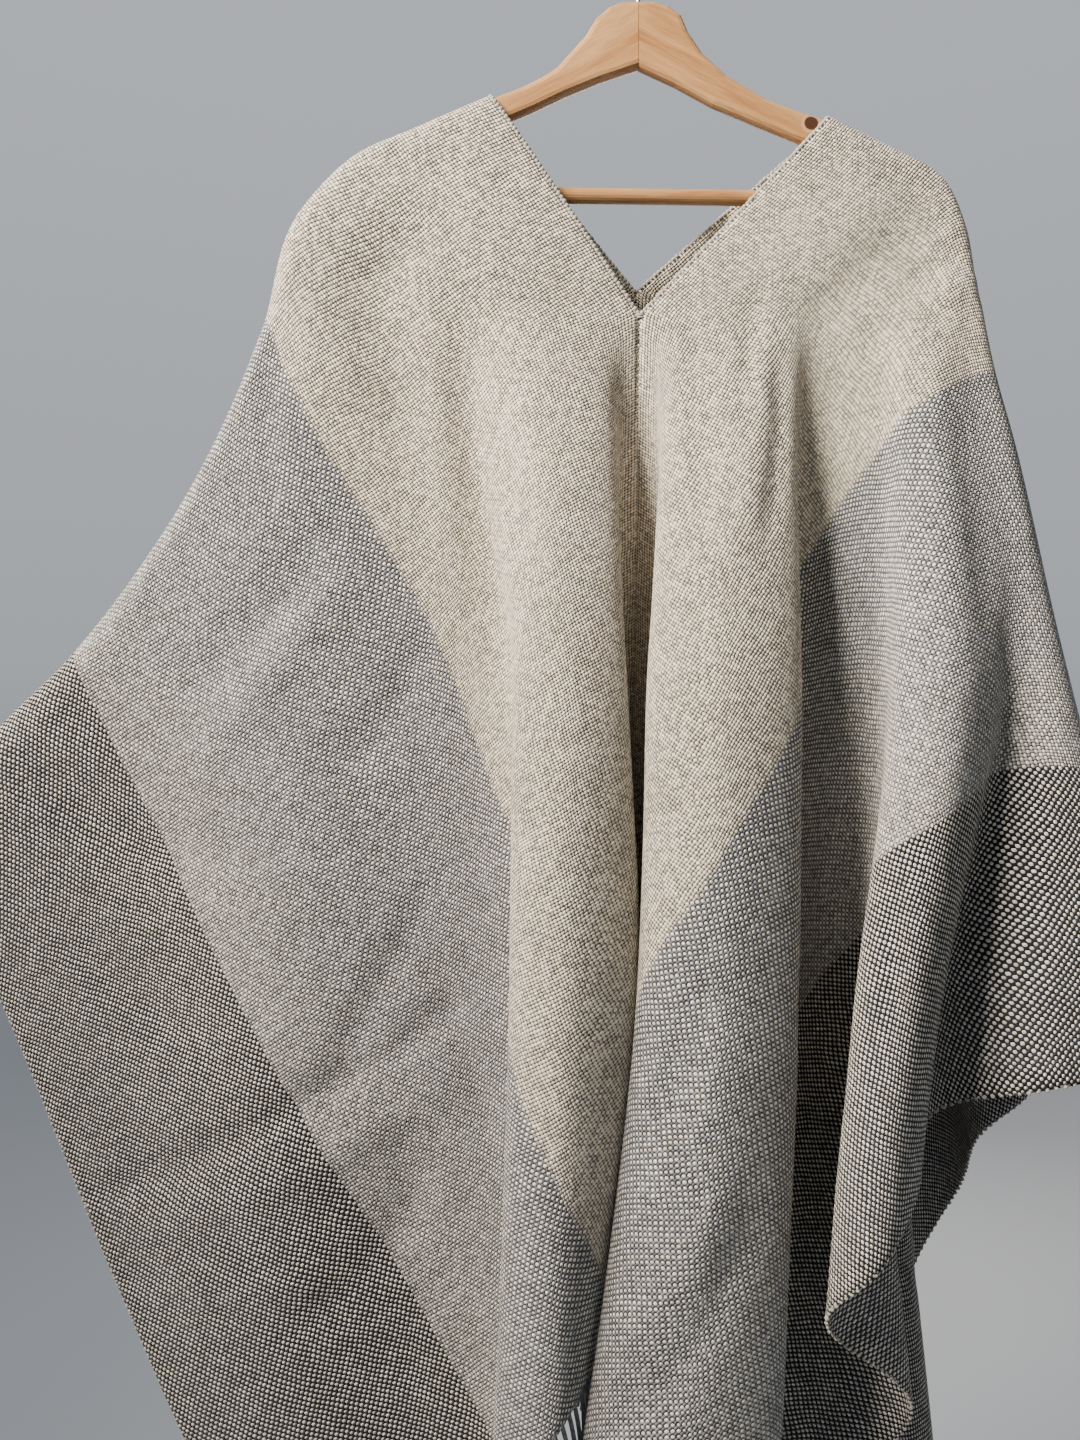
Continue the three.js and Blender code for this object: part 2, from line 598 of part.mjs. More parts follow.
const CLOTH_COLOR = 0xd8d0c2;
const WOOD_COLOR = 0xc8a06a;
const STEEL_COLOR = 0xb9bcc0;
const group = new THREE.Group();
group.name = 'poncho';
const { leftFront, rightFront, leftBack, rightBack } = QUARTERS;
const leftSheet = sheetOf(leftFront, leftBack);
const rightSheet = sheetOf(rightFront, rightBack);
group.add(mesh('left_panel', panel(leftSheet, -1), CLOTH_COLOR, 0.95));
group.add(mesh('right_panel', panel(rightSheet, 1), CLOTH_COLOR, 0.95));
group.add(mesh('fringe_front_left', fringe(leftSheet, leftFront), CLOTH_COLOR, 0.95));
group.add(mesh('fringe_front_right', fringe(rightSheet, rightFront), CLOTH_COLOR, 0.95));
group.add(mesh('fringe_back_left', fringe(leftSheet, leftBack), CLOTH_COLOR, 0.95));
group.add(mesh('fringe_back_right', fringe(rightSheet, rightBack), CLOTH_COLOR, 0.95));
group.add(mesh('hanger_arm_left', arm(LEFT_ARM, -1), WOOD_COLOR, 0.6));
group.add(mesh('hanger_arm_right', arm(RIGHT_ARM, 1), WOOD_COLOR, 0.6));
group.add(mesh('hanger_bar', bar(), WOOD_COLOR, 0.6));
group.add(mesh('hanger_hook', hook(), STEEL_COLOR, 0.3, 1));

export default group;
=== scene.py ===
# A fringed poncho of two hand-woven lengths, hung from its shoulders on a wooden clothes hanger.
# Sizes in the tables are millimetres; meshes are in metres, in the frame of the solids.
import math
import random
from bisect import bisect_right

import bpy
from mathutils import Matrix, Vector


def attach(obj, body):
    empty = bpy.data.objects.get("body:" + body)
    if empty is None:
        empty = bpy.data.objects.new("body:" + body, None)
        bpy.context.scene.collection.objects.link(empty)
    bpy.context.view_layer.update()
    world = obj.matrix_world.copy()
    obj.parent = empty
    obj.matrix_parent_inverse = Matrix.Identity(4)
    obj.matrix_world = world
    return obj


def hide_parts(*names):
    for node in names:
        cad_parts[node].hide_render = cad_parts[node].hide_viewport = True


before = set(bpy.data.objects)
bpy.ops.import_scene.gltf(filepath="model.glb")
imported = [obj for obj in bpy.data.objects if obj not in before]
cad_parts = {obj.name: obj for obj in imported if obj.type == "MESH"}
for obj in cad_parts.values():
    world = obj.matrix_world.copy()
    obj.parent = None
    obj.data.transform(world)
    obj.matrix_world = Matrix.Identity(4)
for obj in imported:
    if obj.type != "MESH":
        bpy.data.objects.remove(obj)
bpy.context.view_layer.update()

MM = 0.001
TAU = 2 * math.pi

# The cloth as cut
PANEL_WIDTH = 736
HALF_LENGTH = 880
SLIT_HALF = 190
CLOTH_THICK = 2.0
SEAM_GAP = 0.3
APEX_Z_FRONT = -306
APEX_Z_BACK = -275

# The yarns: spacing of the long threads (warp) and of the cross threads (weft).
# The real ones are about 2.3 mm apart; they are drawn a little coarser, so that they show in the render.
WARP_PITCH = 2.4
WEFT_PITCH = 2.55

# Bands across a panel, from the neck edge outwards
CREAM_END = 250
MID_GREY_END = 525


def lerp(a, b, f):
    return a + (b - a) * f


def smooth(a, b, x):
    f = min(1.0, max(0.0, (x - a) / (b - a)))
    return f * f * (3 - 2 * f)


def curve(xs, ys, x):
    """A smooth curve through the points (xs, ys), straight beyond its ends."""
    n = len(xs)

    def rise(k):
        return (ys[k + 1] - ys[k]) / (xs[k + 1] - xs[k])

    if x <= xs[0]:
        return ys[0] + rise(0) * (x - xs[0])
    if x >= xs[-1]:
        return ys[-1] + rise(n - 2) * (x - xs[-1])
    i = min(bisect_right(xs, x) - 1, n - 2)

    def slope(k):
        if k == 0:
            return rise(0)
        if k == n - 1:
            return rise(n - 2)
        after = xs[k + 1] - xs[k]
        before = xs[k] - xs[k - 1]
        return (rise(k - 1) * after + rise(k) * before) / (after + before)

    h = xs[i + 1] - xs[i]
    f = (x - xs[i]) / h
    f2 = f * f
    f3 = f2 * f
    return ((2 * f3 - 3 * f2 + 1) * ys[i] + (f3 - 2 * f2 + f) * h * slope(i)
            + (3 * f2 - 2 * f3) * ys[i + 1] + (f3 - f2) * h * slope(i + 1))


# How the cloth hangs
# Where each panel turns from its front to its back: over the hanger's arm, then free.
# Columns: s (from the neck edge, across the cloth), x, z, y, roll radius, t (along the cloth).
FOLD_LEFT = [
    (0, -110, -140.5, 0, 8.5, -11),
    (60, -164, -163.5, 0, 8.5, -13),
    (118, -214, -187.5, 0, 8.7, -16),
    (165, -251, -223, 6, 13, -2),
    (258, -280, -305, 16, 18, 34),
    (395, -342, -430, 32, 24, 90),
    (530, -438, -548, 50, 26, 145),
    (620, -504, -608, 62, 24, 168),
    (730, -577, -690, 74, 20, 185),
]
FOLD_RIGHT = [
    (0, 141, -156, 0, 8.5, -11),
    (55, 184, -177.4, 0, 8.5, -9),
    (105, 225, -201.5, 0, 8.7, -6),
    (140, 240, -236, -1, 12, 0),
    (180, 246, -278, -3, 16, 0),
    (250, 258, -352, -6, 22, 0),
    (300, 270, -400, -8, 25, 0),
    (430, 298, -541, -15, 32, 0),
    (515, 317, -629, -20, 36, 0),
    (730, 366, -838, -30, 40, 0),
]

# Level sections of the front, at these depths below the end of the neck slit.
# Each fold line has its run of cloth from the centre seam, its x and its y, at each depth.
DEPTHS = [0, 250, 500, 800]
PLAN_LEFT_FRONT = {
    "seam": ([0, 0, 0, 0], [0, -3, -6, -10], [-14, 4, 18, 20]),
    "wall_back": ([8, 30, 62, 120], [-8, -24, -52, -70], [-15, -8, 6, 5]),
    "wall_front": ([16, 62, 125, 245], [-16, -22, -48, -52], [-16, -28, -36, -38]),
    "tube_inner": ([26, 95, 188, 365], [-26, -14, -6, -46], [-17, -52, -56, -68]),
    "tube_crest": ([60, 150, 242, 425], [-60, -52, -54, -68], [-20, -72, -92, -98]),
    "tube_outer": ([92, 205, 297, 480], [-92, -91, -93, -103], [-20, -52, -64, -72]),
    "tuck": ([105, 225, 342, 550], [-105, -99, -68, -86], [-18, -36, -38, -45]),
    "tuck_end": ([120, 250, 392, 612], [-120, -112, -98, -104], [-16, -24, -18, -18]),
    "flap_1": ([150, 312, 474, 669], [-150, -150, -152, -156], [-14, -14, -8, -5]),
    "flap_2": ([260, 422, 584, 779], [-252, -256, -258, -264], [-12, -8, -8, -6]),
    "flap_3": ([400, 562, 724, 919], [-374, -378, -385, -402], [6, 20, 34, 38]),
    "flap_4": ([560, 722, 884, 1079], [-505, -508, -515, -540], [30, 48, 66, 70]),
}
PLAN_RIGHT_FRONT = {
    "seam": ([0, 0, 0, 0], [0, -3, -6, -10], [-14, 4, 18, 20]),
    "wall_back": ([8, 50, 105, 170], [8, 22, 40, 42], [-15, -8, 4, 4]),
    "wall_front": ([16, 100, 210, 340], [16, 14, 30, 22], [-16, -30, -40, -48]),
    "tube_inner": ([26, 152, 315, 509], [26, 4, -5, -40], [-17, -54, -71, -90]),
    "tube_crest": ([66, 218, 380, 575], [66, 54, 48, 22], [-21, -76, -96, -106]),
    "tube_outer": ([108, 284, 446, 641], [108, 107, 102, 86], [-20, -52, -66, -76]),
    "tuck": ([130, 330, 525, 728], [126, 96, 66, 56], [-16, -16, -8, -4]),
    "tuck_end": ([150, 372, 590, 778], [142, 122, 104, 96], [-16, -6, 12, 16]),
    "floor": ([170, 420, 640, 834], [158, 146, 132, 148], [-19, -14, 8, 10]),
    "side_hollow": ([187, 475, 700, 892], [173, 174, 170, 196], [-20, -26, -16, -18]),
    "side_inner": ([205, 517, 765, 992], [188, 174, 137, 108], [-24, -60, -76, -82]),
    "side_crest": ([223, 560, 815, 1040], [203, 203, 160, 128], [-27, -78, -106, -106]),
    "side_outer": ([241, 603, 865, 1096], [218, 234, 190, 158], [-26, -62, -80, -80]),
    "side_dip": ([252, 630, 905, 1150], [226, 248, 202, 176], [-24, -52, -46, -50]),
    "flank": ([268, 662, 990, 1400], [238, 270, 268, 235], [-21, -56, -74, -75]),
    "fold": ([294, 706, 1117, 1610], [253, 301, 358, 330], [-18, -47, -70, -65]),
}

# The hidden back falls in rows of upright folds that widen downwards.
# reach is the plan x of the outer fold; near and far are the y of the folds' dips and crests;
# outer is how much further back the dips lie at the outer fold.
BACK_LEFT = {
    "folds": 4.5, "drift": 1.7, "reach": [-277, -432, -570, -640],
    "near": [22, 42, 42, 44], "far": [27, 78, 104, 108], "outer": [2, 22, 44, 48],
}
BACK_RIGHT = {
    "folds": 4, "drift": 2.3, "reach": [252, 302, 362, 420],
    "near": [22, 38, 39, 41], "far": [27, 72, 107, 110], "outer": [0, 0, 0, 0],
}
# The rows' folds wander sideways by this share of the reach, some are shallower by this share in waves
# of this many turns, and they lean over between these depths by this share of a fold's width.
WANDER = 0.014
SHALLOWER = 0.25
SHALLOW_TURNS = 2.3
LEAN_OVER = 0.11
LEAN_DEPTHS = (150, 500)
# The outer folds give up this share of their extra depth, so that they don't stand out too far.
OUTER_SHARE = 0.6
BACK_SEAM_X = [0, -2, -4, -6]

# The cloth beside the centre seam leans by this much, and the seam's own height is felt this far across.
SEAM_LEAN = math.radians(33)
SEAM_REACH = 260
# The shape of the fold over the shoulder fades over the first length below it, and the cloth's extra
# length round the fold is made up over the second.
FOLD_REACH = 60
RELAX = 120
# Steps of depth between the plans that are worked out and kept
SECTION_STEP = 5
# On the left, the back's cloth spreads this much further round the tip of the arm.
LEFT_BACK_SPREAD = math.radians(18)
# Above the end of the slit the folds flatten, as if to nothing at this height.
FLAT_HEIGHT = 900


class Quarter:
    """The front or the back of one panel, as it hangs."""

    def __init__(self, side, face, fold, lean, neck, plan=None, pleats=None, tip=None):
        self.side = side
        self.face = face
        self.lean = math.radians(lean)
        self.neck = math.tan(math.radians(neck))
        self.apex = APEX_Z_FRONT if face > 0 else APEX_Z_BACK
        self.plan = plan
        self.pleats = pleats
        self.tip = tip
        self.fold_s = [row[0] for row in fold]
        self.fold_columns = [[row[k] for row in fold] for k in range(1, 6)]
        self.sections = {}
        self.folds = {}
        self.top_z = fold[0][2]
        self.top_t = fold[0][5] * face

    def fold(self, s):
        """x, z, y, roll and t where the cloth turns to its other side."""
        key = round(s, 3)
        if key not in self.folds:
            x, z, y, roll, t = (curve(self.fold_s, column, s) for column in self.fold_columns)
            t *= self.face
            depth_run = self.hung(s, t)
            pull = (1 - min(1, s / SEAM_REACH)) ** 2
            shift = (self.seam_height(t) - self.hung(0, t)[0]) * pull
            near = self.plan_at(depth_run[1], self.apex - z)
            self.folds[key] = (x, z, y, roll, t, depth_run, shift, near)
        return self.folds[key]

    def hung(self, s, t):
        """Height, and run across from the seam, of a point of the cloth."""
        lean = self.lean
        plumb = self.apex - s * math.sin(lean) - (t - SLIT_HALF) * math.cos(lean)
        level = (plumb, s / math.cos(lean))
        if self.tip is None:
            return level
        tip_s, tip_t = self.tip
        if s <= tip_s:
            return level
        angle = math.atan2(t - tip_t, s - tip_s)
        edge = math.pi / 2 - lean
        if angle >= edge:
            return level
        tip_z = self.apex - tip_s * math.sin(lean) - (tip_t - SLIT_HALF) * math.cos(lean)
        radius = math.hypot(t - tip_t, s - tip_s)
        start = (tip_s + radius * math.sin(lean)) / math.cos(lean)
        return (tip_z - radius, start + radius * (edge - angle))

    def seam_height(self, t):
        """Height of the panel's sewn edge, and of the neck edge above it."""
        if t < SLIT_HALF:
            return lerp(self.top_z, self.apex, (t - self.top_t) / (SLIT_HALF - self.top_t))
        return self.apex - math.cos(SEAM_LEAN) * (t - SLIT_HALF)

    def fold_run(self, level):
        """Run across from the seam to the outer fold, at a depth."""
        tip_s, tip_t = self.tip
        drop = (level + SLIT_HALF * math.cos(self.lean) - tip_s * math.sin(self.lean)
                - tip_t * math.cos(self.lean))
        turned = math.pi / 2 - self.lean + (LEFT_BACK_SPREAD if self.side < 0 else 0)
        return (tip_s + drop * math.sin(self.lean)) / math.cos(self.lean) + drop * turned

    def section(self, k):
        """The plan at the depth k * SECTION_STEP, as lists of runs, x and y."""
        if k not in self.sections:
            rows = self.plan.values()
            depth = k * SECTION_STEP
            self.sections[k] = [[curve(DEPTHS, row[c], depth) for row in rows] for c in range(3)]
        return self.sections[k]

    def pleat_at(self, across, level):
        """x and y on the back's rows of folds."""
        p = self.pleats
        share = across / self.fold_run(level)
        turn = TAU * p["folds"] * (share + WANDER * math.sin(TAU * p["drift"] * share))
        low, high, reach, outer = (curve(DEPTHS, p[key], level)
                                   for key in ("near", "far", "reach", "outer"))
        back = outer * min(share, 1) ** 2
        swing = 0.5 - 0.5 * math.cos(turn)
        uneven = 1 - SHALLOWER * (0.5 + 0.5 * math.sin(TAU * SHALLOW_TURNS * share + 2 * self.side))
        over = smooth(*LEAN_DEPTHS, level) * LEAN_OVER * reach / p["folds"] * math.sin(2 * turn)
        seam_x = curve(DEPTHS, BACK_SEAM_X, level)
        x = seam_x + (reach - seam_x) * share + over
        y = low + back + (high - low - OUTER_SHARE * back) * swing * uneven
        return x, y

    def plan_at(self, across, depth):
        """x and y of a run across from the seam, at a depth below the end of the neck slit."""
        level = max(depth, 0)
        if self.pleats:
            x, y = self.pleat_at(across, level)
        else:
            k = int(level // SECTION_STEP)
            f = level / SECTION_STEP - k
            runs, xs, ys = ([lerp(a, b, f) for a, b in zip(*pair)]
                            for pair in zip(self.section(k), self.section(k + 1)))
            x, y = curve(runs, xs, across), curve(runs, ys, across)
        if depth < 0:
            x -= self.side * self.neck * depth
            y *= 1 + depth / FLAT_HEIGHT
        return x, y

    def point(self, s, t, drop=0):
        """The middle of the cloth at (s, t); t grows from the shoulder to the hem."""
        fold_x, fold_z, fold_y, roll, fold_t, (hung_z, _), shift, near = self.fold(s)
        tau = t - fold_t
        quarter_turn = roll * math.pi / 2
        if tau < quarter_turn:
            down, out = roll * (1 - math.cos(tau / roll)), math.sin(tau / roll)
        else:
            lost = quarter_turn - roll
            down, out = tau - lost + lost * smooth(quarter_turn, quarter_turn + RELAX, tau), 1
        z, across = self.hung(s, fold_t + down)
        pull = (1 - min(1, s / SEAM_REACH)) ** 2
        seam = (self.seam_height(fold_t + down) - self.hung(0, fold_t + down)[0]) * pull
        fade = math.exp(-down / FOLD_REACH)
        z += seam + (fold_z - hung_z - shift) * fade
        depth = self.apex - z
        x, y = self.plan_at(across, depth + drop)
        x += (fold_x - near[0]) * fade
        flat = y + (fold_y - self.face * roll - near[1]) * fade
        return Vector((x, fold_y + (flat - fold_y) * out, z - drop))


LEFT_FRONT = Quarter(-1, 1, FOLD_LEFT, 33, 33, plan=PLAN_LEFT_FRONT)
RIGHT_FRONT = Quarter(1, 1, FOLD_RIGHT, 33, 44, plan=PLAN_RIGHT_FRONT, tip=(105, -6))
LEFT_BACK = Quarter(-1, -1, FOLD_LEFT, 31.5, 40, pleats=BACK_LEFT, tip=(118, 16))
RIGHT_BACK = Quarter(1, -1, FOLD_RIGHT, 41, 49, pleats=BACK_RIGHT, tip=(105, 0))

# Making meshes


def keep(obj, slot, *nodes):
    """Puts a finished piece on the model's one body."""
    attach(obj, "root")
    if nodes:
        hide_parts(*nodes)
    return obj


def new_object(name, data):
    """An object in the scene around a mesh, a light's or a camera's data."""
    obj = bpy.data.objects.new(name, data)
    bpy.context.scene.collection.objects.link(obj)
    return obj


def baked(obj):
    """The object with its modifiers worked into a plain mesh."""
    bpy.context.view_layer.update()
    shape = bpy.data.meshes.new_from_object(obj.evaluated_get(bpy.context.evaluated_depsgraph_get()))
    obj.modifiers.clear()
    old = obj.data
    obj.data = shape
    if old.users == 0:
        bpy.data.meshes.remove(old)
    return obj


# Materials


def srgb(code):
    """A hex sRGB colour as linear RGBA."""
    channels = [int(code[k:k + 2], 16) / 255 for k in (0, 2, 4)]
    linear = [c / 12.92 if c <= 0.04045 else ((c + 0.055) / 1.055) ** 2.4 for c in channels]
    return (*linear, 1.0)


def new_material(name):
    """An empty material, and its tree of nodes."""
    material = bpy.data.materials.new(name)
    material.use_nodes = True
    material.node_tree.nodes.clear()
    return material, material.node_tree


def add(tree, kind, settings=None, **inputs):
    """Adds a node; settings are its properties, inputs its sockets' values or links.
    An input such as _2 is the socket of that number."""
    node = tree.nodes.new(kind)
    for key, value in (settings or {}).items():
        setattr(node, key, value)
    for key, value in inputs.items():
        socket = node.inputs[int(key[1:]) if key[0] == "_" else key]
        if isinstance(value, bpy.types.NodeSocket):
            tree.links.new(value, socket)
        else:
            socket.default_value = value
    return node


# Settings that nodes of arithmetic, colour and noise share
PLUS = {"operation": "ADD"}
MINUS = {"operation": "SUBTRACT"}
TIMES = {"operation": "MULTIPLY"}
TIMES_PLUS = {"operation": "MULTIPLY_ADD"}
OVER = {"operation": "DIVIDE"}
WHOLE = {"operation": "FLOOR"}
PART = {"operation": "FRACT"}
MIXED = {"data_type": "RGBA"}
SHADED = {"data_type": "RGBA", "blend_type": "MULTIPLY"}
ON_CLOTH = {"noise_dimensions": "2D"}


def finish_material(tree, shader):
    """Links a shader to the material's output."""
    add(tree, "ShaderNodeOutputMaterial", None, Surface=shader)


def fill_ramp(ramp, stops):
    """Sets a colour ramp's stops, each a position and an sRGB code."""
    while len(ramp.elements) < len(stops):
        ramp.elements.new(0.5)
    for element, (position, _) in zip(ramp.elements, stops):
        element.position = position
    for element, (_, code) in zip(ramp.elements, stops):
        element.color = srgb(code)


# The long threads' colours by distance from the neck edge. Each dyed zone starts dark and pales outwards.
WARP_COLOURS = [
    (0, "e5d7bf"), (CREAM_END - 0.6, "e2d3ba"), (CREAM_END + 0.6, "686d78"), (330, "767b84"),
    (430, "8b8e93"), (MID_GREY_END - 0.6, "a9a9a8"), (MID_GREY_END + 0.6, "1b1e26"),
    (585, "20242c"), (660, "2c3038"), (PANEL_WIDTH - 14, "343840"), (PANEL_WIDTH - 12, "1d2028"),
    (PANEL_WIDTH, "1d2028"),
]
WEFT_CREAM = "faf3e6"


def warp_ramp(tree, place):
    """The long threads' colour at a distance from the neck edge, as a share of the width."""
    node = add(tree, "ShaderNodeValToRGB", None, Fac=place)
    fill_ramp(node.color_ramp, [(s / PANEL_WIDTH, code) for s, code in WARP_COLOURS])
    return node.outputs[0]


def woven_cloth():
    """Plain-woven acrylic and wool: soft, matt, with a short nap that lights its edges."""
    material, tree = new_material("plain_woven_wool_blend")
    uv = add(tree, "ShaderNodeUVMap", {"uv_map": "cloth"}).outputs[0]
    # yarns wander by up to about a millimetre, in turns about 30 mm long
    wander = add(tree, "ShaderNodeTexNoise", ON_CLOTH, Vector=uv, Scale=34.0, Detail=1.0)
    offset = add(tree, "ShaderNodeVectorMath", MINUS, _0=wander.outputs["Color"], _1=(0.5, 0.5, 0.5))
    offset = add(tree, "ShaderNodeVectorMath", {"operation": "SCALE"}, _0=offset.outputs[0], Scale=0.0028)
    place = add(tree, "ShaderNodeVectorMath", PLUS, _0=uv, _1=offset.outputs[0])
    split = add(tree, "ShaderNodeSeparateXYZ", None, _0=place.outputs[0])
    column = add(tree, "ShaderNodeMath", OVER, _0=split.outputs[0], _1=WARP_PITCH * MM).outputs[0]
    row = add(tree, "ShaderNodeMath", OVER, _0=split.outputs[1], _1=WEFT_PITCH * MM).outputs[0]
    column_cell = add(tree, "ShaderNodeMath", WHOLE, _0=column).outputs[0]
    row_cell = add(tree, "ShaderNodeMath", WHOLE, _0=row).outputs[0]
    # 1 where the long thread lies on top, 0 where the cross thread does
    count = add(tree, "ShaderNodeMath", PLUS, _0=column_cell, _1=row_cell).outputs[0]
    on_top = add(tree, "ShaderNodeMath", {"operation": "PINGPONG"}, _0=count, _1=1.0).outputs[0]
    beneath = add(tree, "ShaderNodeMath", MINUS, _0=1.0, _1=on_top).outputs[0]
    # squared distances from the middle of the bead, across the panel and along it
    across = add(tree, "ShaderNodeMath", PART, _0=column).outputs[0]
    across = add(tree, "ShaderNodeMath", MINUS, _0=across, _1=0.5).outputs[0]
    across = add(tree, "ShaderNodeMath", TIMES, _0=across, _1=across).outputs[0]
    along = add(tree, "ShaderNodeMath", PART, _0=row).outputs[0]
    along = add(tree, "ShaderNodeMath", MINUS, _0=along, _1=0.5).outputs[0]
    along = add(tree, "ShaderNodeMath", TIMES, _0=along, _1=along).outputs[0]
    # a yarn that lies on top is a rounded, slightly long bead, whose edge is where this sum reaches 1
    bead_warp = add(tree, "ShaderNodeMath", TIMES, _0=along, _1=2.6).outputs[0]
    bead_warp = add(tree, "ShaderNodeMath", TIMES_PLUS, _0=across, _1=4.4, _2=bead_warp).outputs[0]
    bead_warp = add(tree, "ShaderNodeMath", TIMES, _0=bead_warp, _1=on_top).outputs[0]
    bead_weft = add(tree, "ShaderNodeMath", TIMES, _0=along, _1=4.4).outputs[0]
    bead_weft = add(tree, "ShaderNodeMath", TIMES_PLUS, _0=across, _1=2.6, _2=bead_weft).outputs[0]
    bead = add(tree, "ShaderNodeMath", TIMES_PLUS, _0=bead_weft, _1=beneath, _2=bead_warp).outputs[0]
    # hand-spun yarn: some beads are plump and some thin
    cell = add(tree, "ShaderNodeCombineXYZ", None, _0=column_cell, _1=row_cell).outputs[0]
    chance = add(tree, "ShaderNodeTexWhiteNoise", ON_CLOTH, Vector=cell).outputs["Value"]
    plump = add(tree, "ShaderNodeMapRange", None, Value=chance, _3=1.25, _4=0.8).outputs[0]
    bead = add(tree, "ShaderNodeMath", TIMES, _0=bead, _1=plump).outputs[0]
    bead = add(tree, "ShaderNodeMath", {"operation": "MINIMUM"}, _0=bead, _1=1.0).outputs[0]
    height = add(tree, "ShaderNodeMath", MINUS, _0=1.0, _1=bead).outputs[0]
    # the long threads: each bead a little lighter or darker
    share = add(tree, "ShaderNodeSeparateXYZ", None, _0=uv).outputs[0]
    share = add(tree, "ShaderNodeMath", OVER, _0=share, _1=PANEL_WIDTH * MM).outputs[0]
    warp_tone = add(tree, "ShaderNodeMapRange", None, Value=chance, _3=0.66, _4=1.25).outputs[0]
    warp = add(tree, "ShaderNodeMix", SHADED, _0=1.0, _6=warp_ramp(tree, share), _7=warp_tone).outputs[2]
    # the cross threads, with slubs: lighter and darker stretches about 50 mm long in each
    stretched = add(tree, "ShaderNodeMath", TIMES, _0=column, _1=0.045).outputs[0]
    slub_place = add(tree, "ShaderNodeCombineXYZ", None, _0=stretched, _1=row_cell).outputs[0]
    slub = add(tree, "ShaderNodeTexNoise", ON_CLOTH, Vector=slub_place, Scale=1.0, Detail=1.0).outputs[0]
    slub = add(tree, "ShaderNodeMapRange", None, Value=slub, _1=0.3, _2=0.7, _3=0.8, _4=1.08).outputs[0]
    weft_tone = add(tree, "ShaderNodeMapRange", None, Value=chance, _3=0.84, _4=1.08).outputs[0]
    weft_tone = add(tree, "ShaderNodeMath", TIMES, _0=slub, _1=weft_tone).outputs[0]
    weft = add(tree, "ShaderNodeMix", SHADED, _0=1.0, _6=srgb(WEFT_CREAM), _7=weft_tone).outputs[2]
    yarn = add(tree, "ShaderNodeMix", MIXED, _0=on_top, _6=weft, _7=warp).outputs[2]
    # wool of uneven shade, in soft clouds about 70 mm across
    cloud = add(tree, "ShaderNodeTexNoise", ON_CLOTH, Vector=uv, Scale=14.0, Detail=3.0).outputs[0]
    cloud = add(tree, "ShaderNodeMapRange", None, Value=cloud, _1=0.3, _2=0.7, _3=0.94, _4=1.05)
    yarn = add(tree, "ShaderNodeMix", SHADED, _0=1.0, _6=yarn, _7=cloud.outputs[0]).outputs[2]
    # painted shade darkens the small holes between four yarns, and a slight painted highlight lightens
    # the beads' tops; the beads stand 0.9 mm high
    painted_pit_shade = add(tree, "ShaderNodeMapRange", None, Value=height, _2=0.45, _3=0.08, _4=1.08).outputs[0]
    yarn = add(tree, "ShaderNodeMix", SHADED, _0=1.0, _6=yarn, _7=painted_pit_shade).outputs[2]
    bump = add(tree, "ShaderNodeBump", None, Strength=0.9, Distance=0.0009, Height=height).outputs[0]
    shader = add(tree, "ShaderNodeBsdfPrincipled", None, **{
        "Base Color": yarn, "Roughness": 0.92, "IOR": 1.45, "Specular IOR Level": 0.18,
        "Sheen Weight": 0.28, "Sheen Roughness": 0.45, "Sheen Tint": srgb("f3efe8"), "Normal": bump})
    finish_material(tree, shader.outputs[0])
    return material


def twisted_yarn(name, code=None):
    """Plied yarn of the fringe and the sewing: matt, with the twist showing as fine slanted lines of
    painted shade in the grooves between the plies.
    Without a colour of its own it takes the long threads' colour."""
    material, tree = new_material(name)
    turn = add(tree, "ShaderNodeAttribute", {"attribute_name": "turn"}).outputs["Fac"]
    length = add(tree, "ShaderNodeAttribute", {"attribute_name": "length"}).outputs["Fac"]
    # two plies, one full twist in 9 mm
    twist = add(tree, "ShaderNodeMath", OVER, _0=length, _1=0.009).outputs[0]
    twist = add(tree, "ShaderNodeMath", TIMES_PLUS, _0=turn, _1=2.0, _2=twist).outputs[0]
    twist = add(tree, "ShaderNodeMath", TIMES, _0=twist, _1=math.pi).outputs[0]
    ply = add(tree, "ShaderNodeMath", {"operation": "SINE"}, _0=twist).outputs[0]
    ply = add(tree, "ShaderNodeMath", {"operation": "ABSOLUTE"}, _0=ply).outputs[0]
    if code:
        base = srgb(code)
    else:
        band = add(tree, "ShaderNodeAttribute", {"attribute_name": "band"}).outputs["Fac"]
        base = warp_ramp(tree, band)
        base = add(tree, "ShaderNodeMix", MIXED, _0=0.06, _6=base, _7=srgb(WEFT_CREAM)).outputs[2]
    # painted shade: the grooves between the two plies darken the yarn's colour to 0.55 of it
    tone = add(tree, "ShaderNodeMapRange", None, Value=ply, _2=0.7, _3=0.55, _4=1.0).outputs[0]
    colour = add(tree, "ShaderNodeMix", SHADED, _0=1.0, _6=base, _7=tone).outputs[2]
    bump = add(tree, "ShaderNodeBump", None, Strength=0.8, Distance=0.0006, Height=ply).outputs[0]
    shader = add(tree, "ShaderNodeBsdfPrincipled", None, **{
        "Base Color": colour, "Roughness": 0.9, "IOR": 1.45, "Specular IOR Level": 0.2,
        "Sheen Weight": 0.25, "Normal": bump})
    finish_material(tree, shader.outputs[0])
    return material


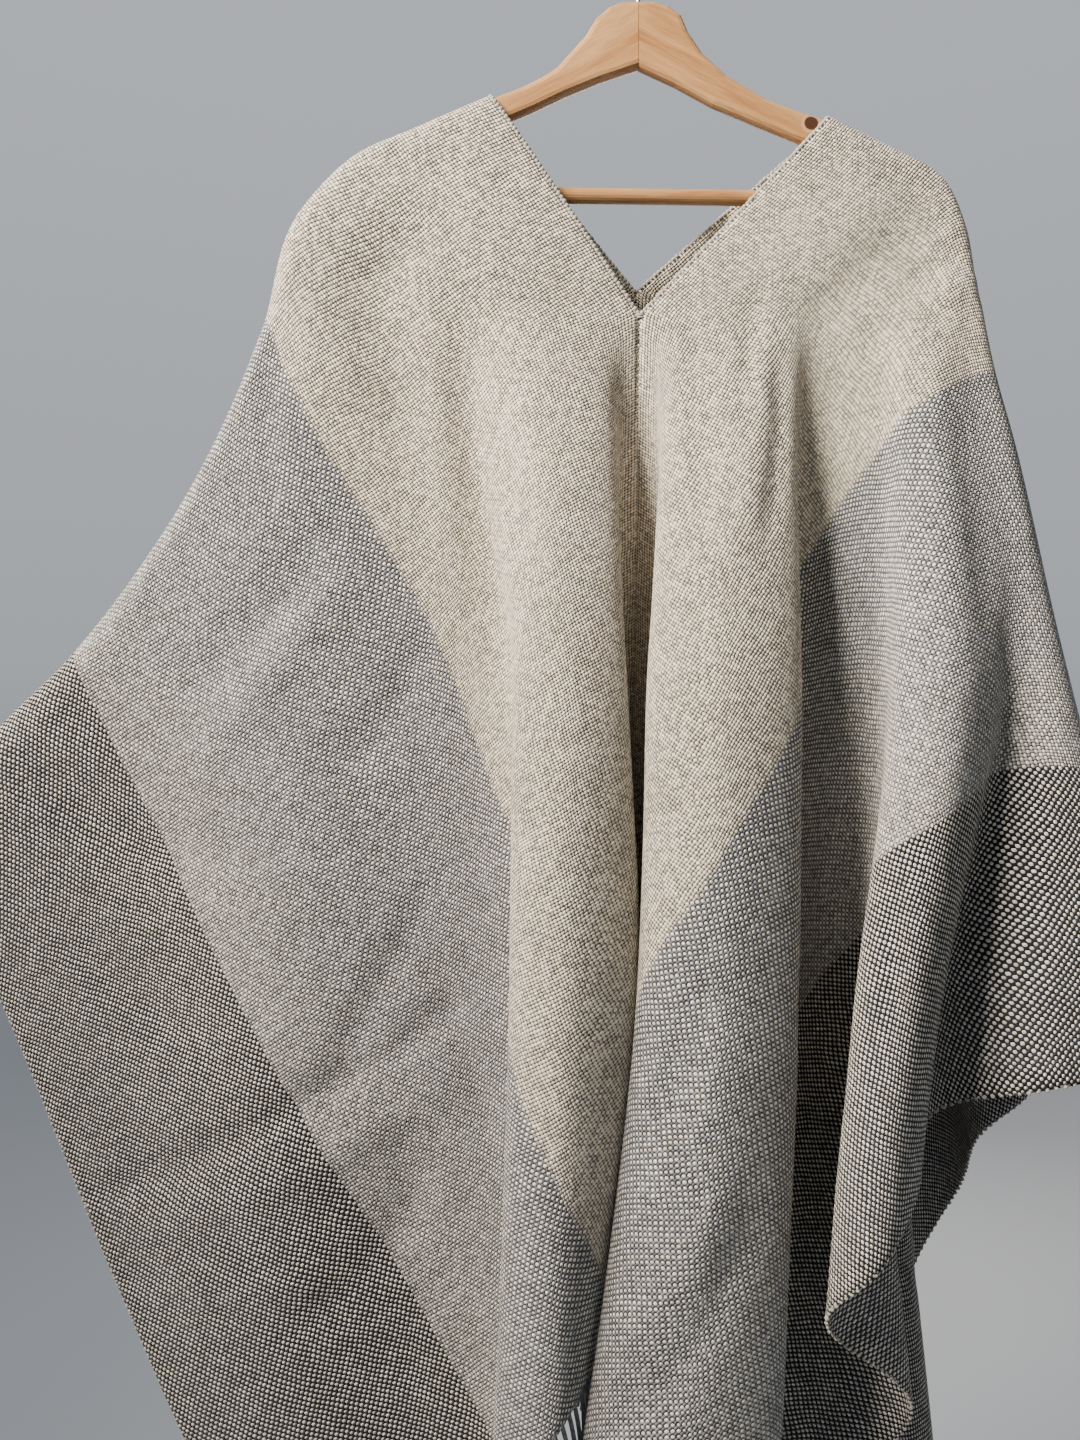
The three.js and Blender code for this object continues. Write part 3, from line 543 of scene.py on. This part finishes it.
def pale_wood(name, slope, knot=None):
    """Beech or a like pale hardwood, planed and clear-lacquered: straight warm grain under a satin film.
    slope is the grain's angle from level, in degrees; knot is the place of a small dark knot."""
    material, tree = new_material(name)
    place = add(tree, "ShaderNodeTexCoord").outputs["Object"]
    turn = (0, math.radians(slope), 0)
    turned = add(tree, "ShaderNodeMapping", None, Vector=place, Rotation=turn).outputs[0]
    # growth rings about 9 mm apart and 125 mm long; pores about 0.8 mm wide and 18 mm long
    grain_place = add(tree, "ShaderNodeMapping", None, Vector=turned, Scale=(5.0, 70.0, 70.0)).outputs[0]
    grain = add(tree, "ShaderNodeTexNoise", None, Vector=grain_place, Scale=1.6, Detail=5.0,
                Roughness=0.6, Distortion=0.5).outputs[0]
    pore_place = add(tree, "ShaderNodeMapping", None, Vector=turned, Scale=(40.0, 900.0, 900.0))
    pores = add(tree, "ShaderNodeTexNoise", None, Vector=pore_place.outputs[0], Scale=1.4, Detail=2.0)
    pores = pores.outputs[0]
    ramp = add(tree, "ShaderNodeValToRGB", None, Fac=grain)
    fill_ramp(ramp.color_ramp, [(0.32, "ab7646"), (0.7, "d9a871")])
    tone = add(tree, "ShaderNodeMapRange", None, Value=pores, _1=0.35, _2=0.65, _3=0.84, _4=1.06)
    colour = add(tree, "ShaderNodeMix", SHADED, _0=1.0, _6=ramp.outputs[0], _7=tone.outputs[0]).outputs[2]
    if knot:
        # a dark heart about 10 mm across in a pale ring, its edge roughened by the grain
        away = add(tree, "ShaderNodeVectorMath", {"operation": "DISTANCE"}, _0=place, _1=knot)
        away = add(tree, "ShaderNodeMath", TIMES_PLUS, _0=grain, _1=0.0022, _2=away.outputs["Value"])
        away = away.outputs[0]
        for inner, outer, code in ((0.0068, 0.0092, "d8ab7c"), (0.0058, 0.0070, "4a2d1b")):
            spot = add(tree, "ShaderNodeMapRange", None, Value=away, _1=inner, _2=outer, _3=1.0, _4=0.0)
            colour = add(tree, "ShaderNodeMix", MIXED, _0=spot.outputs[0], _6=colour, _7=srgb(code))
            colour = colour.outputs[2]
    bump = add(tree, "ShaderNodeBump", None, Strength=0.15, Distance=0.0003, Height=pores).outputs[0]
    shader = add(tree, "ShaderNodeBsdfPrincipled", None, **{
        "Base Color": colour, "Roughness": 0.42, "IOR": 1.5, "Coat Weight": 0.25, "Coat Roughness": 0.3,
        "Normal": bump})
    finish_material(tree, shader.outputs[0])
    return material


def drawn_steel():
    """Nickel-plated steel wire: bright, with lines 2 mm apart and 17 mm long along it from drawing."""
    material, tree = new_material("nickel_plated_wire")
    place = add(tree, "ShaderNodeTexCoord").outputs["Object"]
    stretched = add(tree, "ShaderNodeMapping", None, Vector=place, Scale=(300.0, 300.0, 30.0)).outputs[0]
    lines = add(tree, "ShaderNodeTexNoise", None, Vector=stretched, Scale=2.0, Detail=2.0).outputs[0]
    rough = add(tree, "ShaderNodeMapRange", None, Value=lines, _3=0.22, _4=0.34).outputs[0]
    shader = add(tree, "ShaderNodeBsdfPrincipled", None, **{
        "Base Color": srgb("b9bbbd"), "Metallic": 1.0, "Roughness": rough})
    finish_material(tree, shader.outputs[0])
    return material


CLOTH = woven_cloth()
FRINGE_YARN = twisted_yarn("plied_fringe_yarn")
SEWING_CREAM = twisted_yarn("cream_sewing_yarn", "efe9dd")

# The two panels: points across each, round its turn over the shoulder, and down each half
COLUMNS = 140
ROLL_ROWS = 6
HALF_ROWS = 150


def row_taus(roll, length):
    """Lengths beyond the fold at which a panel has a row of points."""
    turn = roll * math.pi / 2
    taus = [turn * k / ROLL_ROWS for k in range(ROLL_ROWS)]
    return taus + [lerp(turn, length, k / HALF_ROWS) for k in range(HALF_ROWS + 1)]


# Soft creases left by folding and by the drape, each a line on the cloth: s and t of its two ends
# (t is below zero behind the shoulder), half its width, and its depth, below zero for a ridge.
# PRESSED scales the depths of them all, and UNEVEN is the depth of the cloth's own slow waves.
PRESSED = 1.9
UNEVEN = 0.55
CREASES_LEFT = [
    (108, 24, 196, 178, 30, 4.6), (122, 140, 200, 400, 20, 5.4),
    (712, 518, 520, 538, 13, 2.4), (520, 538, 372, 541, 12, 1.8), (690, 560, 420, 586, 16, -1.6),
    (448, 231, 272, 192, 20, 1.8), (470, 280, 300, 236, 16, -1.2),
    (360, 463, 500, 545, 14, 1.7), (376, 496, 390, 640, 14, 1.6), (592, 240, 456, 366, 22, 1.9),
    (360, 346, 264, 305, 17, 1.5), (608, 679, 480, 640, 16, 1.7), (688, 600, 560, 660, 14, -1.3),
    (112, 200, 138, 330, 12, 1.4), (232, 45, 290, 120, 14, 1.3), (640, 330, 560, 470, 20, 1.5),
    (120, -40, 190, -190, 18, 2.2), (330, -160, 260, -330, 16, 1.8), (610, -420, 430, -470, 15, 2.0),
    (520, -250, 400, -340, 18, 1.6), (300, -520, 420, -600, 15, 1.7), (660, -620, 540, -700, 15, -1.4),
]
CREASES_RIGHT = [
    (58, 128, 92, 196, 5, 1.4), (106, 176, 164, 284, 5, 1.8), (92, 170, 148, 290, 7, -1.2),
    (40, 184, 122, 305, 13, 1.5), (280, 80, 420, 116, 17, 1.7), (112, 51, 210, 74, 15, 1.6),
    (160, 128, 242, 160, 13, 1.3), (288, 560, 322, 660, 13, 1.6), (408, 672, 424, 800, 12, 1.7),
    (372, 650, 392, 790, 12, -1.3), (552, 248, 634, 306, 14, 1.5), (432, 88, 620, 106, 18, 1.5),
    (470, 420, 520, 560, 15, 1.5), (330, 420, 380, 540, 14, 1.3),
    (110, -45, 200, -170, 17, 2.0), (300, -140, 420, -230, 17, 1.8), (200, -330, 330, -400, 15, 1.7),
    (520, -330, 600, -470, 16, 1.6), (400, -560, 520, -620, 15, 1.6), (620, -660, 480, -740, 14, -1.4),
]


def crease_depth(creases, s, t):
    """How far the cloth is pressed in at (s, t)."""
    depth = 0
    for s0, t0, s1, t1, half, deep in creases:
        if s < min(s0, s1) - 3 * half or s > max(s0, s1) + 3 * half:
            continue
        ds, dt = s1 - s0, t1 - t0
        f = ((s - s0) * ds + (t - t0) * dt) / (ds * ds + dt * dt)
        if -0.25 < f < 1.25:
            bow = 0.35 * half * math.sin(math.pi * f)
            away = ((s - s0) * dt - (t - t0) * ds) / math.hypot(ds, dt) - bow
            ends = smooth(-0.25, 0.2, f) * (1 - smooth(0.75, 1.25, f))
            depth += PRESSED * deep * ends * math.exp(-(away / half) ** 2)
    # the whole cloth is a little uneven, as hand-woven cloth hangs
    waves = math.sin(s / 41 + 1.3 * math.sin(t / 67)) * math.sin(t / 53 + 0.9 * math.sin(s / 89))
    depth += UNEVEN * waves
    # nothing is pressed in along the neck, where the panels are sewn, or over the hanger
    return depth * smooth(6, 50, s) * smooth(20, 70, abs(t))


def panel_points(front, back):
    """Rows of (place, s, signed t) from the front hem over the shoulder to the back hem."""
    rows = []
    last = ROLL_ROWS + HALF_ROWS
    for k in range(-last, last + 1):
        quarter = back if k > 0 else front
        row = []
        for c in range(COLUMNS + 1):
            s = PANEL_WIDTH * c / COLUMNS
            fold = quarter.fold(s)
            t = fold[4] + row_taus(fold[3], HALF_LENGTH - fold[4])[abs(k)]
            place = quarter.point(s, t)
            if c == 0 and t >= SLIT_HALF - 1:
                place.x += quarter.side * SEAM_GAP / 2
            row.append((place, s, t * quarter.face))
        rows.append(row)
    return rows


def creased(rows, creases, sign):
    """The places of the rows, pressed in along the creases."""
    last = len(rows) - 1
    places = []
    for r, row in enumerate(rows):
        for c, (place, s, t) in enumerate(row):
            down = rows[min(r + 1, last)][c][0] - rows[max(r - 1, 0)][c][0]
            along = row[min(c + 1, COLUMNS)][0] - row[max(c - 1, 0)][0]
            outwards = along.cross(down).normalized() * sign
            places.append(place - outwards * crease_depth(creases, s, t))
    return places


def make_panel(name, front, back, creases):
    """A panel of cloth from its front hem, over the shoulder, to its back hem."""
    rows = panel_points(front, back)
    width = COLUMNS + 1
    vertices = [place * MM for place in creased(rows, creases, front.side)]
    faces = []
    for r in range(len(rows) - 1):
        for c in range(COLUMNS):
            a = r * width + c
            ring = (a, a + 1, a + width + 1, a + width)
            faces.append(ring if front.side > 0 else ring[::-1])
    mesh = bpy.data.meshes.new(name)
    mesh.from_pydata(vertices, [], faces)
    layer = mesh.uv_layers.new(name="cloth")
    flat = [(s * MM, t * MM + 1.0) for row in rows for _, s, t in row]
    for loop in mesh.loops:
        layer.data[loop.index].uv = flat[loop.vertex_index]
    mesh.shade_smooth()
    obj = new_object(name, mesh)
    wall = obj.modifiers.new("thickness", "SOLIDIFY")
    wall.thickness = CLOTH_THICK * MM
    wall.offset = 0
    wall.use_rim = True
    baked(obj)
    obj.data.materials.append(CLOTH)
    return obj


left_panel = make_panel("left_cloth", LEFT_FRONT, LEFT_BACK, CREASES_LEFT)
keep(left_panel, "cloth", "left_panel")
right_panel = make_panel("right_cloth", RIGHT_FRONT, RIGHT_BACK, CREASES_RIGHT)
keep(right_panel, "cloth", "right_panel")

# Yarn work: fringes, whipped edges, seams and bar tacks


def paths_object(name, paths):
    """Polylines as loose edges; each point has its place in mm and its share of the width."""
    vertices, edges, bands = [], [], []
    for path in paths:
        for k, (place, band) in enumerate(path):
            if k:
                edges.append((len(vertices) - 1, len(vertices)))
            vertices.append(place * MM)
            bands.append(band)
    mesh = bpy.data.meshes.new(name)
    mesh.from_pydata(vertices, edges, [])
    attribute = mesh.attributes.new("band", "FLOAT", "POINT")
    attribute.data.foreach_set("value", bands)
    return new_object(name, mesh)


def node_group(name, inputs):
    """An empty geometry tree with named inputs: (name, kind, value)."""
    tree = bpy.data.node_groups.new(name, "GeometryNodeTree")
    tree.interface.new_socket("Geometry", in_out="INPUT", socket_type="NodeSocketGeometry")
    for label, kind, value in inputs:
        socket = tree.interface.new_socket(label, in_out="INPUT", socket_type=kind)
        if value is not None:
            socket.default_value = value
    tree.interface.new_socket("Geometry", in_out="OUTPUT", socket_type="NodeSocketGeometry")
    start = tree.nodes.new("NodeGroupInput")
    end = tree.nodes.new("NodeGroupOutput")
    return tree, start, end


def yarn_group():
    """Gives each path a round body of plied yarn, thinner at its free end."""
    tree, start, end = node_group("yarn_along_paths", [
        ("Radius", "NodeSocketFloat", 0.0016), ("Sides", "NodeSocketInt", 7),
        ("Spacing", "NodeSocketFloat", 0.004), ("Yarn", "NodeSocketMaterial", None)])
    line = add(tree, "GeometryNodeMeshToCurve", None, Mesh=start.outputs["Geometry"])
    line = add(tree, "GeometryNodeResampleCurve", {"mode": "LENGTH"}, Curve=line.outputs[0],
               Length=start.outputs["Spacing"])
    run = add(tree, "GeometryNodeSplineParameter")
    line = add(tree, "GeometryNodeStoreNamedAttribute", {"domain": "POINT", "data_type": "FLOAT"},
               Geometry=line.outputs[0], Name="length", Value=run.outputs["Length"])
    taper = add(tree, "ShaderNodeMapRange", None, Value=run.outputs["Factor"],
                _1=0.9, _2=1.0, _3=1.0, _4=0.55)
    ring = add(tree, "GeometryNodeCurvePrimitiveCircle", None, Resolution=start.outputs["Sides"],
               Radius=start.outputs["Radius"])
    around = add(tree, "GeometryNodeSplineParameter")
    ring = add(tree, "GeometryNodeStoreNamedAttribute", {"domain": "POINT", "data_type": "FLOAT"},
               Geometry=ring.outputs[0], Name="turn", Value=around.outputs["Factor"])
    body = add(tree, "GeometryNodeCurveToMesh", None, Curve=line.outputs[0],
               **{"Profile Curve": ring.outputs[0], "Scale": taper.outputs[0], "Fill Caps": True})
    body = add(tree, "GeometryNodeSetShadeSmooth", None, Geometry=body.outputs[0])
    body = add(tree, "GeometryNodeRealizeInstances", None, Geometry=body.outputs[0])
    body = add(tree, "GeometryNodeSetMaterial", None, Geometry=body.outputs[0],
               Material=start.outputs["Yarn"])
    tree.links.new(body.outputs[0], end.inputs[0])
    return tree


def stitch_group():
    """Sets small slanted stitches at even steps along each path."""
    tree, start, end = node_group("stitches_along_paths", [
        ("Spacing", "NodeSocketFloat", 0.004), ("Length", "NodeSocketFloat", 0.0034),
        ("Thickness", "NodeSocketFloat", 0.0011), ("Slant", "NodeSocketFloat", 0.6),
        ("Yarn", "NodeSocketMaterial", None)])
    line = add(tree, "GeometryNodeMeshToCurve", None, Mesh=start.outputs["Geometry"])
    line = add(tree, "GeometryNodeResampleCurve", {"mode": "LENGTH"}, Curve=line.outputs[0],
               Length=start.outputs["Spacing"])
    bead = add(tree, "GeometryNodeMeshUVSphere", None, Segments=8, Rings=5, Radius=0.5)
    size = add(tree, "ShaderNodeCombineXYZ", None, _0=start.outputs["Thickness"],
               _1=start.outputs["Thickness"], _2=start.outputs["Length"])
    tangent = add(tree, "GeometryNodeInputTangent")
    facing = add(tree, "FunctionNodeAlignRotationToVector", {"axis": "Z"}, Vector=tangent.outputs[0])
    slant = add(tree, "ShaderNodeCombineXYZ", None, _0=start.outputs["Slant"])
    slant = add(tree, "FunctionNodeEulerToRotation", None, Euler=slant.outputs[0])
    facing = add(tree, "FunctionNodeRotateRotation", {"rotation_space": "LOCAL"},
                 Rotation=facing.outputs[0], **{"Rotate By": slant.outputs[0]})
    uneven = add(tree, "FunctionNodeRandomValue", {"data_type": "FLOAT"}, _2=0.85, _3=1.15, Seed=7)
    scaled = add(tree, "ShaderNodeVectorMath", {"operation": "SCALE"}, _0=size.outputs[0],
                 Scale=uneven.outputs[1])
    stitches = add(tree, "GeometryNodeInstanceOnPoints", None, Points=line.outputs[0],
                   Instance=bead.outputs[0], Rotation=facing.outputs[0], Scale=scaled.outputs[0])
    stitches = add(tree, "GeometryNodeRealizeInstances", None, Geometry=stitches.outputs[0])
    stitches = add(tree, "GeometryNodeSetShadeSmooth", None, Geometry=stitches.outputs[0])
    stitches = add(tree, "GeometryNodeSetMaterial", None, Geometry=stitches.outputs[0],
                   Material=start.outputs["Yarn"])
    tree.links.new(stitches.outputs[0], end.inputs[0])
    return tree


YARN = yarn_group()
STITCHES = stitch_group()


def grown(name, paths, group, **values):
    """A piece made by a geometry tree from paths, as a plain mesh."""
    obj = paths_object(name, paths)
    modifier = obj.modifiers.new("grown", "NODES")
    modifier.node_group = group
    for item in group.interface.items_tree:
        if item.in_out == "INPUT" and item.name in values:
            modifier[item.identifier] = values[item.name]
    return baked(obj)


STRANDS = 84
STRAND_LENGTH = 72
STRAND_POINTS = 9
END_MARGIN = 6


def strand_paths(quarter, seed):
    """Each strand leaves the hem in the cloth's own direction, then hangs."""
    rng = random.Random(seed)
    paths = []
    for k in range(STRANDS):
        s = lerp(END_MARGIN, PANEL_WIDTH - END_MARGIN, k / (STRANDS - 1)) + rng.uniform(-1.2, 1.2)
        root = quarter.point(s, HALF_LENGTH - 3)
        hem = quarter.point(s, HALF_LENGTH + 2)
        beside = quarter.point(s + 2, HALF_LENGTH + 2)
        run = beside - hem
        run.z = 0
        run.normalize()
        out = Vector((run.y, -run.x, 0))
        phase, wave = rng.uniform(0, TAU), rng.uniform(0.4, 2.0)
        length = STRAND_LENGTH * rng.uniform(0.9, 1.0)
        path = [(root, s / PANEL_WIDTH), (hem, s / PANEL_WIDTH)]
        for j in range(1, STRAND_POINTS + 1):
            f = j / STRAND_POINTS
            place = quarter.point(s, HALF_LENGTH + 2, drop=length * f)
            sway = wave * math.sin(phase + 4.2 * f) * min(1, 2 * f)
            depth = 0.7 * wave * math.cos(1.3 * phase + 3.4 * f) * min(1, 2 * f)
            path.append((place + run * sway + out * depth, s / PANEL_WIDTH))
        paths.append(path)
    return paths


FRINGES = {
    "fringe_front_left": (LEFT_FRONT, 11), "fringe_front_right": (RIGHT_FRONT, 12),
    "fringe_back_left": (LEFT_BACK, 13), "fringe_back_right": (RIGHT_BACK, 14),
}
for node, (quarter, seed) in FRINGES.items():
    strands = strand_paths(quarter, seed)
    piece = grown(f"{node}_yarn", strands, YARN, Radius=0.0016, Sides=7, Spacing=0.005, Yarn=FRINGE_YARN)
    keep(piece, "fringe", node)


def edge_path(quarter, s, start, stop, step):
    """A path along a panel's long edge."""
    count = max(2, round(abs(stop - start) / step))
    path = []
    for k in range(count + 1):
        t = lerp(start, stop, k / count)
        path.append((quarter.point(s, t), s / PANEL_WIDTH))
    return path


def whole_edge(front, back, s, start, stop, step=6):
    """From the front, over the shoulder, to the back."""
    front_t, back_t = front.fold(s)[4], back.fold(s)[4]
    return edge_path(front, s, start, front_t, step)[:-1] + edge_path(back, s, back_t, stop, step)


SLIT_STOP = SLIT_HALF - 2
neck_edges = [whole_edge(LEFT_FRONT, LEFT_BACK, 0, SLIT_STOP, SLIT_STOP, 4),
              whole_edge(RIGHT_FRONT, RIGHT_BACK, 0, SLIT_STOP, SLIT_STOP, 4)]
keep(grown("neck_edge_whipping", neck_edges, STITCHES, Spacing=0.0036, Length=0.0046, Thickness=0.0034,
           Slant=0.7, Yarn=SEWING_CREAM), "cloth")
HEM_STOP = HALF_LENGTH - 2
selvages = [whole_edge(LEFT_FRONT, LEFT_BACK, PANEL_WIDTH, HEM_STOP, HEM_STOP),
            whole_edge(RIGHT_FRONT, RIGHT_BACK, PANEL_WIDTH, HEM_STOP, HEM_STOP)]
keep(grown("selvage_whipping", selvages, STITCHES, Spacing=0.0058, Length=0.0038, Thickness=0.0030,
           Slant=0.9, Yarn=SEWING_CREAM), "cloth")
seams = [edge_path(quarter, 0, SLIT_HALF, HALF_LENGTH - 4, 8) for quarter in (LEFT_FRONT, LEFT_BACK)]
keep(grown("centre_seam_stitches", seams, STITCHES, Spacing=0.0055, Length=0.0042, Thickness=0.0026,
           Slant=0.7, Yarn=SEWING_CREAM), "cloth")


def bar_tack(seam_y, apex, face):
    """Two short bars of thread across the end of the neck slit, on the outer side of the cloth."""
    paths = []
    for half, above in ((2.6, 1.2), (2.0, -0.5)):
        path = []
        for f in (0, 0.25, 0.5, 0.75, 1):
            out = 1.2 - 2 * (f - 0.5) ** 2
            path.append((Vector((lerp(-half, half, f), seam_y - face * out, apex + above)), 0.0))
        paths.append(path)
    return paths


tacks = bar_tack(-14.5, APEX_Z_FRONT - 1, 1) + bar_tack(22.5, APEX_Z_BACK - 1, -1)
keep(grown("neck_bar_tacks", tacks, YARN, Radius=0.0007, Sides=6, Spacing=0.002,
           Yarn=SEWING_CREAM), "cloth")

# The hanger
ARM_SLOPE = 27
KNOT = (0.127, -0.0055, -0.161)
HANGER = {
    "hanger_arm_left": pale_wood("lacquered_wood_left_arm", ARM_SLOPE),
    "hanger_arm_right": pale_wood("lacquered_wood_right_arm", -ARM_SLOPE, knot=KNOT),
    "hanger_bar": pale_wood("lacquered_wood_bar", 0),
    "hanger_hook": drawn_steel(),
}
for node, material in HANGER.items():
    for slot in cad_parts[node].material_slots:
        slot.material = material

# Studio
FLOOR_Z = -1.9
FLOOR_HALF = 4
corners = [(x * FLOOR_HALF, y * FLOOR_HALF, FLOOR_Z) for x, y in ((-1, -1), (1, -1), (1, 1), (-1, 1))]
floor_mesh = bpy.data.meshes.new("floor")
floor_mesh.from_pydata(corners, [], [(0, 1, 2, 3)])
floor = new_object("floor", floor_mesh)
floor_material, floor_tree = new_material("pale_floor")
floor_shader = add(floor_tree, "ShaderNodeBsdfPrincipled", None,
                   **{"Base Color": srgb("c9ccd0"), "Roughness": 0.8})
finish_material(floor_tree, floor_shader.outputs[0])
floor_mesh.materials.append(floor_material)

# The light all round: pale above and dimmer towards the floor, and dimmer in front of the poncho than
# behind it. Columns: height of the direction, colour.
STUDIO_TONES = [(-0.75, "303335"), (-0.3, "74787c"), (0.05, "adb1b6"), (0.5, "bdc1c7")]


def pale_studio():
    """Light from all sides, as from white sheets round the poncho."""
    world = bpy.data.worlds.new("pale_studio")
    bpy.context.scene.world = world
    world.use_nodes = True
    tree = world.node_tree
    tree.nodes.clear()
    direction = add(tree, "ShaderNodeTexCoord").outputs["Generated"]
    parts = add(tree, "ShaderNodeSeparateXYZ", None, _0=direction)
    share = add(tree, "ShaderNodeMath", TIMES_PLUS, _0=parts.outputs[2], _1=0.5, _2=0.5).outputs[0]
    strength = add(tree, "ShaderNodeMapRange", None, Value=parts.outputs[1],
                   _1=-0.6, _2=0.5, _3=0.25, _4=1.0)
    tones = add(tree, "ShaderNodeValToRGB", None, Fac=share)
    fill_ramp(tones.color_ramp, [(0.5 + up / 2, code) for up, code in STUDIO_TONES])
    glow = add(tree, "ShaderNodeBackground", None, Color=tones.outputs[0], Strength=strength.outputs[0])
    add(tree, "ShaderNodeOutputWorld", None, Surface=glow.outputs[0])


pale_studio()


def soft_light(name, place, target, size, power, spread, code):
    """A softbox; spread is the angle in degrees that its grid lets through."""
    data = bpy.data.lights.new(name, "AREA")
    data.shape = "RECTANGLE"
    data.size, data.size_y = size
    data.energy = power
    data.spread = math.radians(spread)
    data.color = srgb(code)[:3]
    light = new_object(name, data)
    light.location = place
    light.rotation_euler = (Vector(target) - Vector(place)).to_track_quat("-Z", "Y").to_euler()


soft_light("window", (-1.60, -1.05, 0.80), (-0.03, 0, -0.18), (1.0, 1.0), 26, 60, "fff4e6")
soft_light("back_fill", (0.8, 2.3, 0.5), (0, 0, -0.6), (1.6, 1.6), 26, 150, "fbf8f4")

# The picture is 1440 pixels high, and its lens is 1040 of them long, as a phone's wide lens is.
PICTURE_HEIGHT = 1440
LENS_IN_PIXELS = 1040
SENSOR_HEIGHT = 36
camera_data = bpy.data.cameras.new("camera")
camera_data.sensor_fit = "VERTICAL"
camera_data.sensor_height = SENSOR_HEIGHT
camera_data.sensor_width = 27
camera_data.lens = SENSOR_HEIGHT * LENS_IN_PIXELS / PICTURE_HEIGHT
camera_data.clip_end = 20
camera = new_object("camera", camera_data)
camera.location = (-0.0725, -0.770, -0.600)
camera.rotation_euler = (math.radians(90), 0, 0)
bpy.context.scene.camera = camera
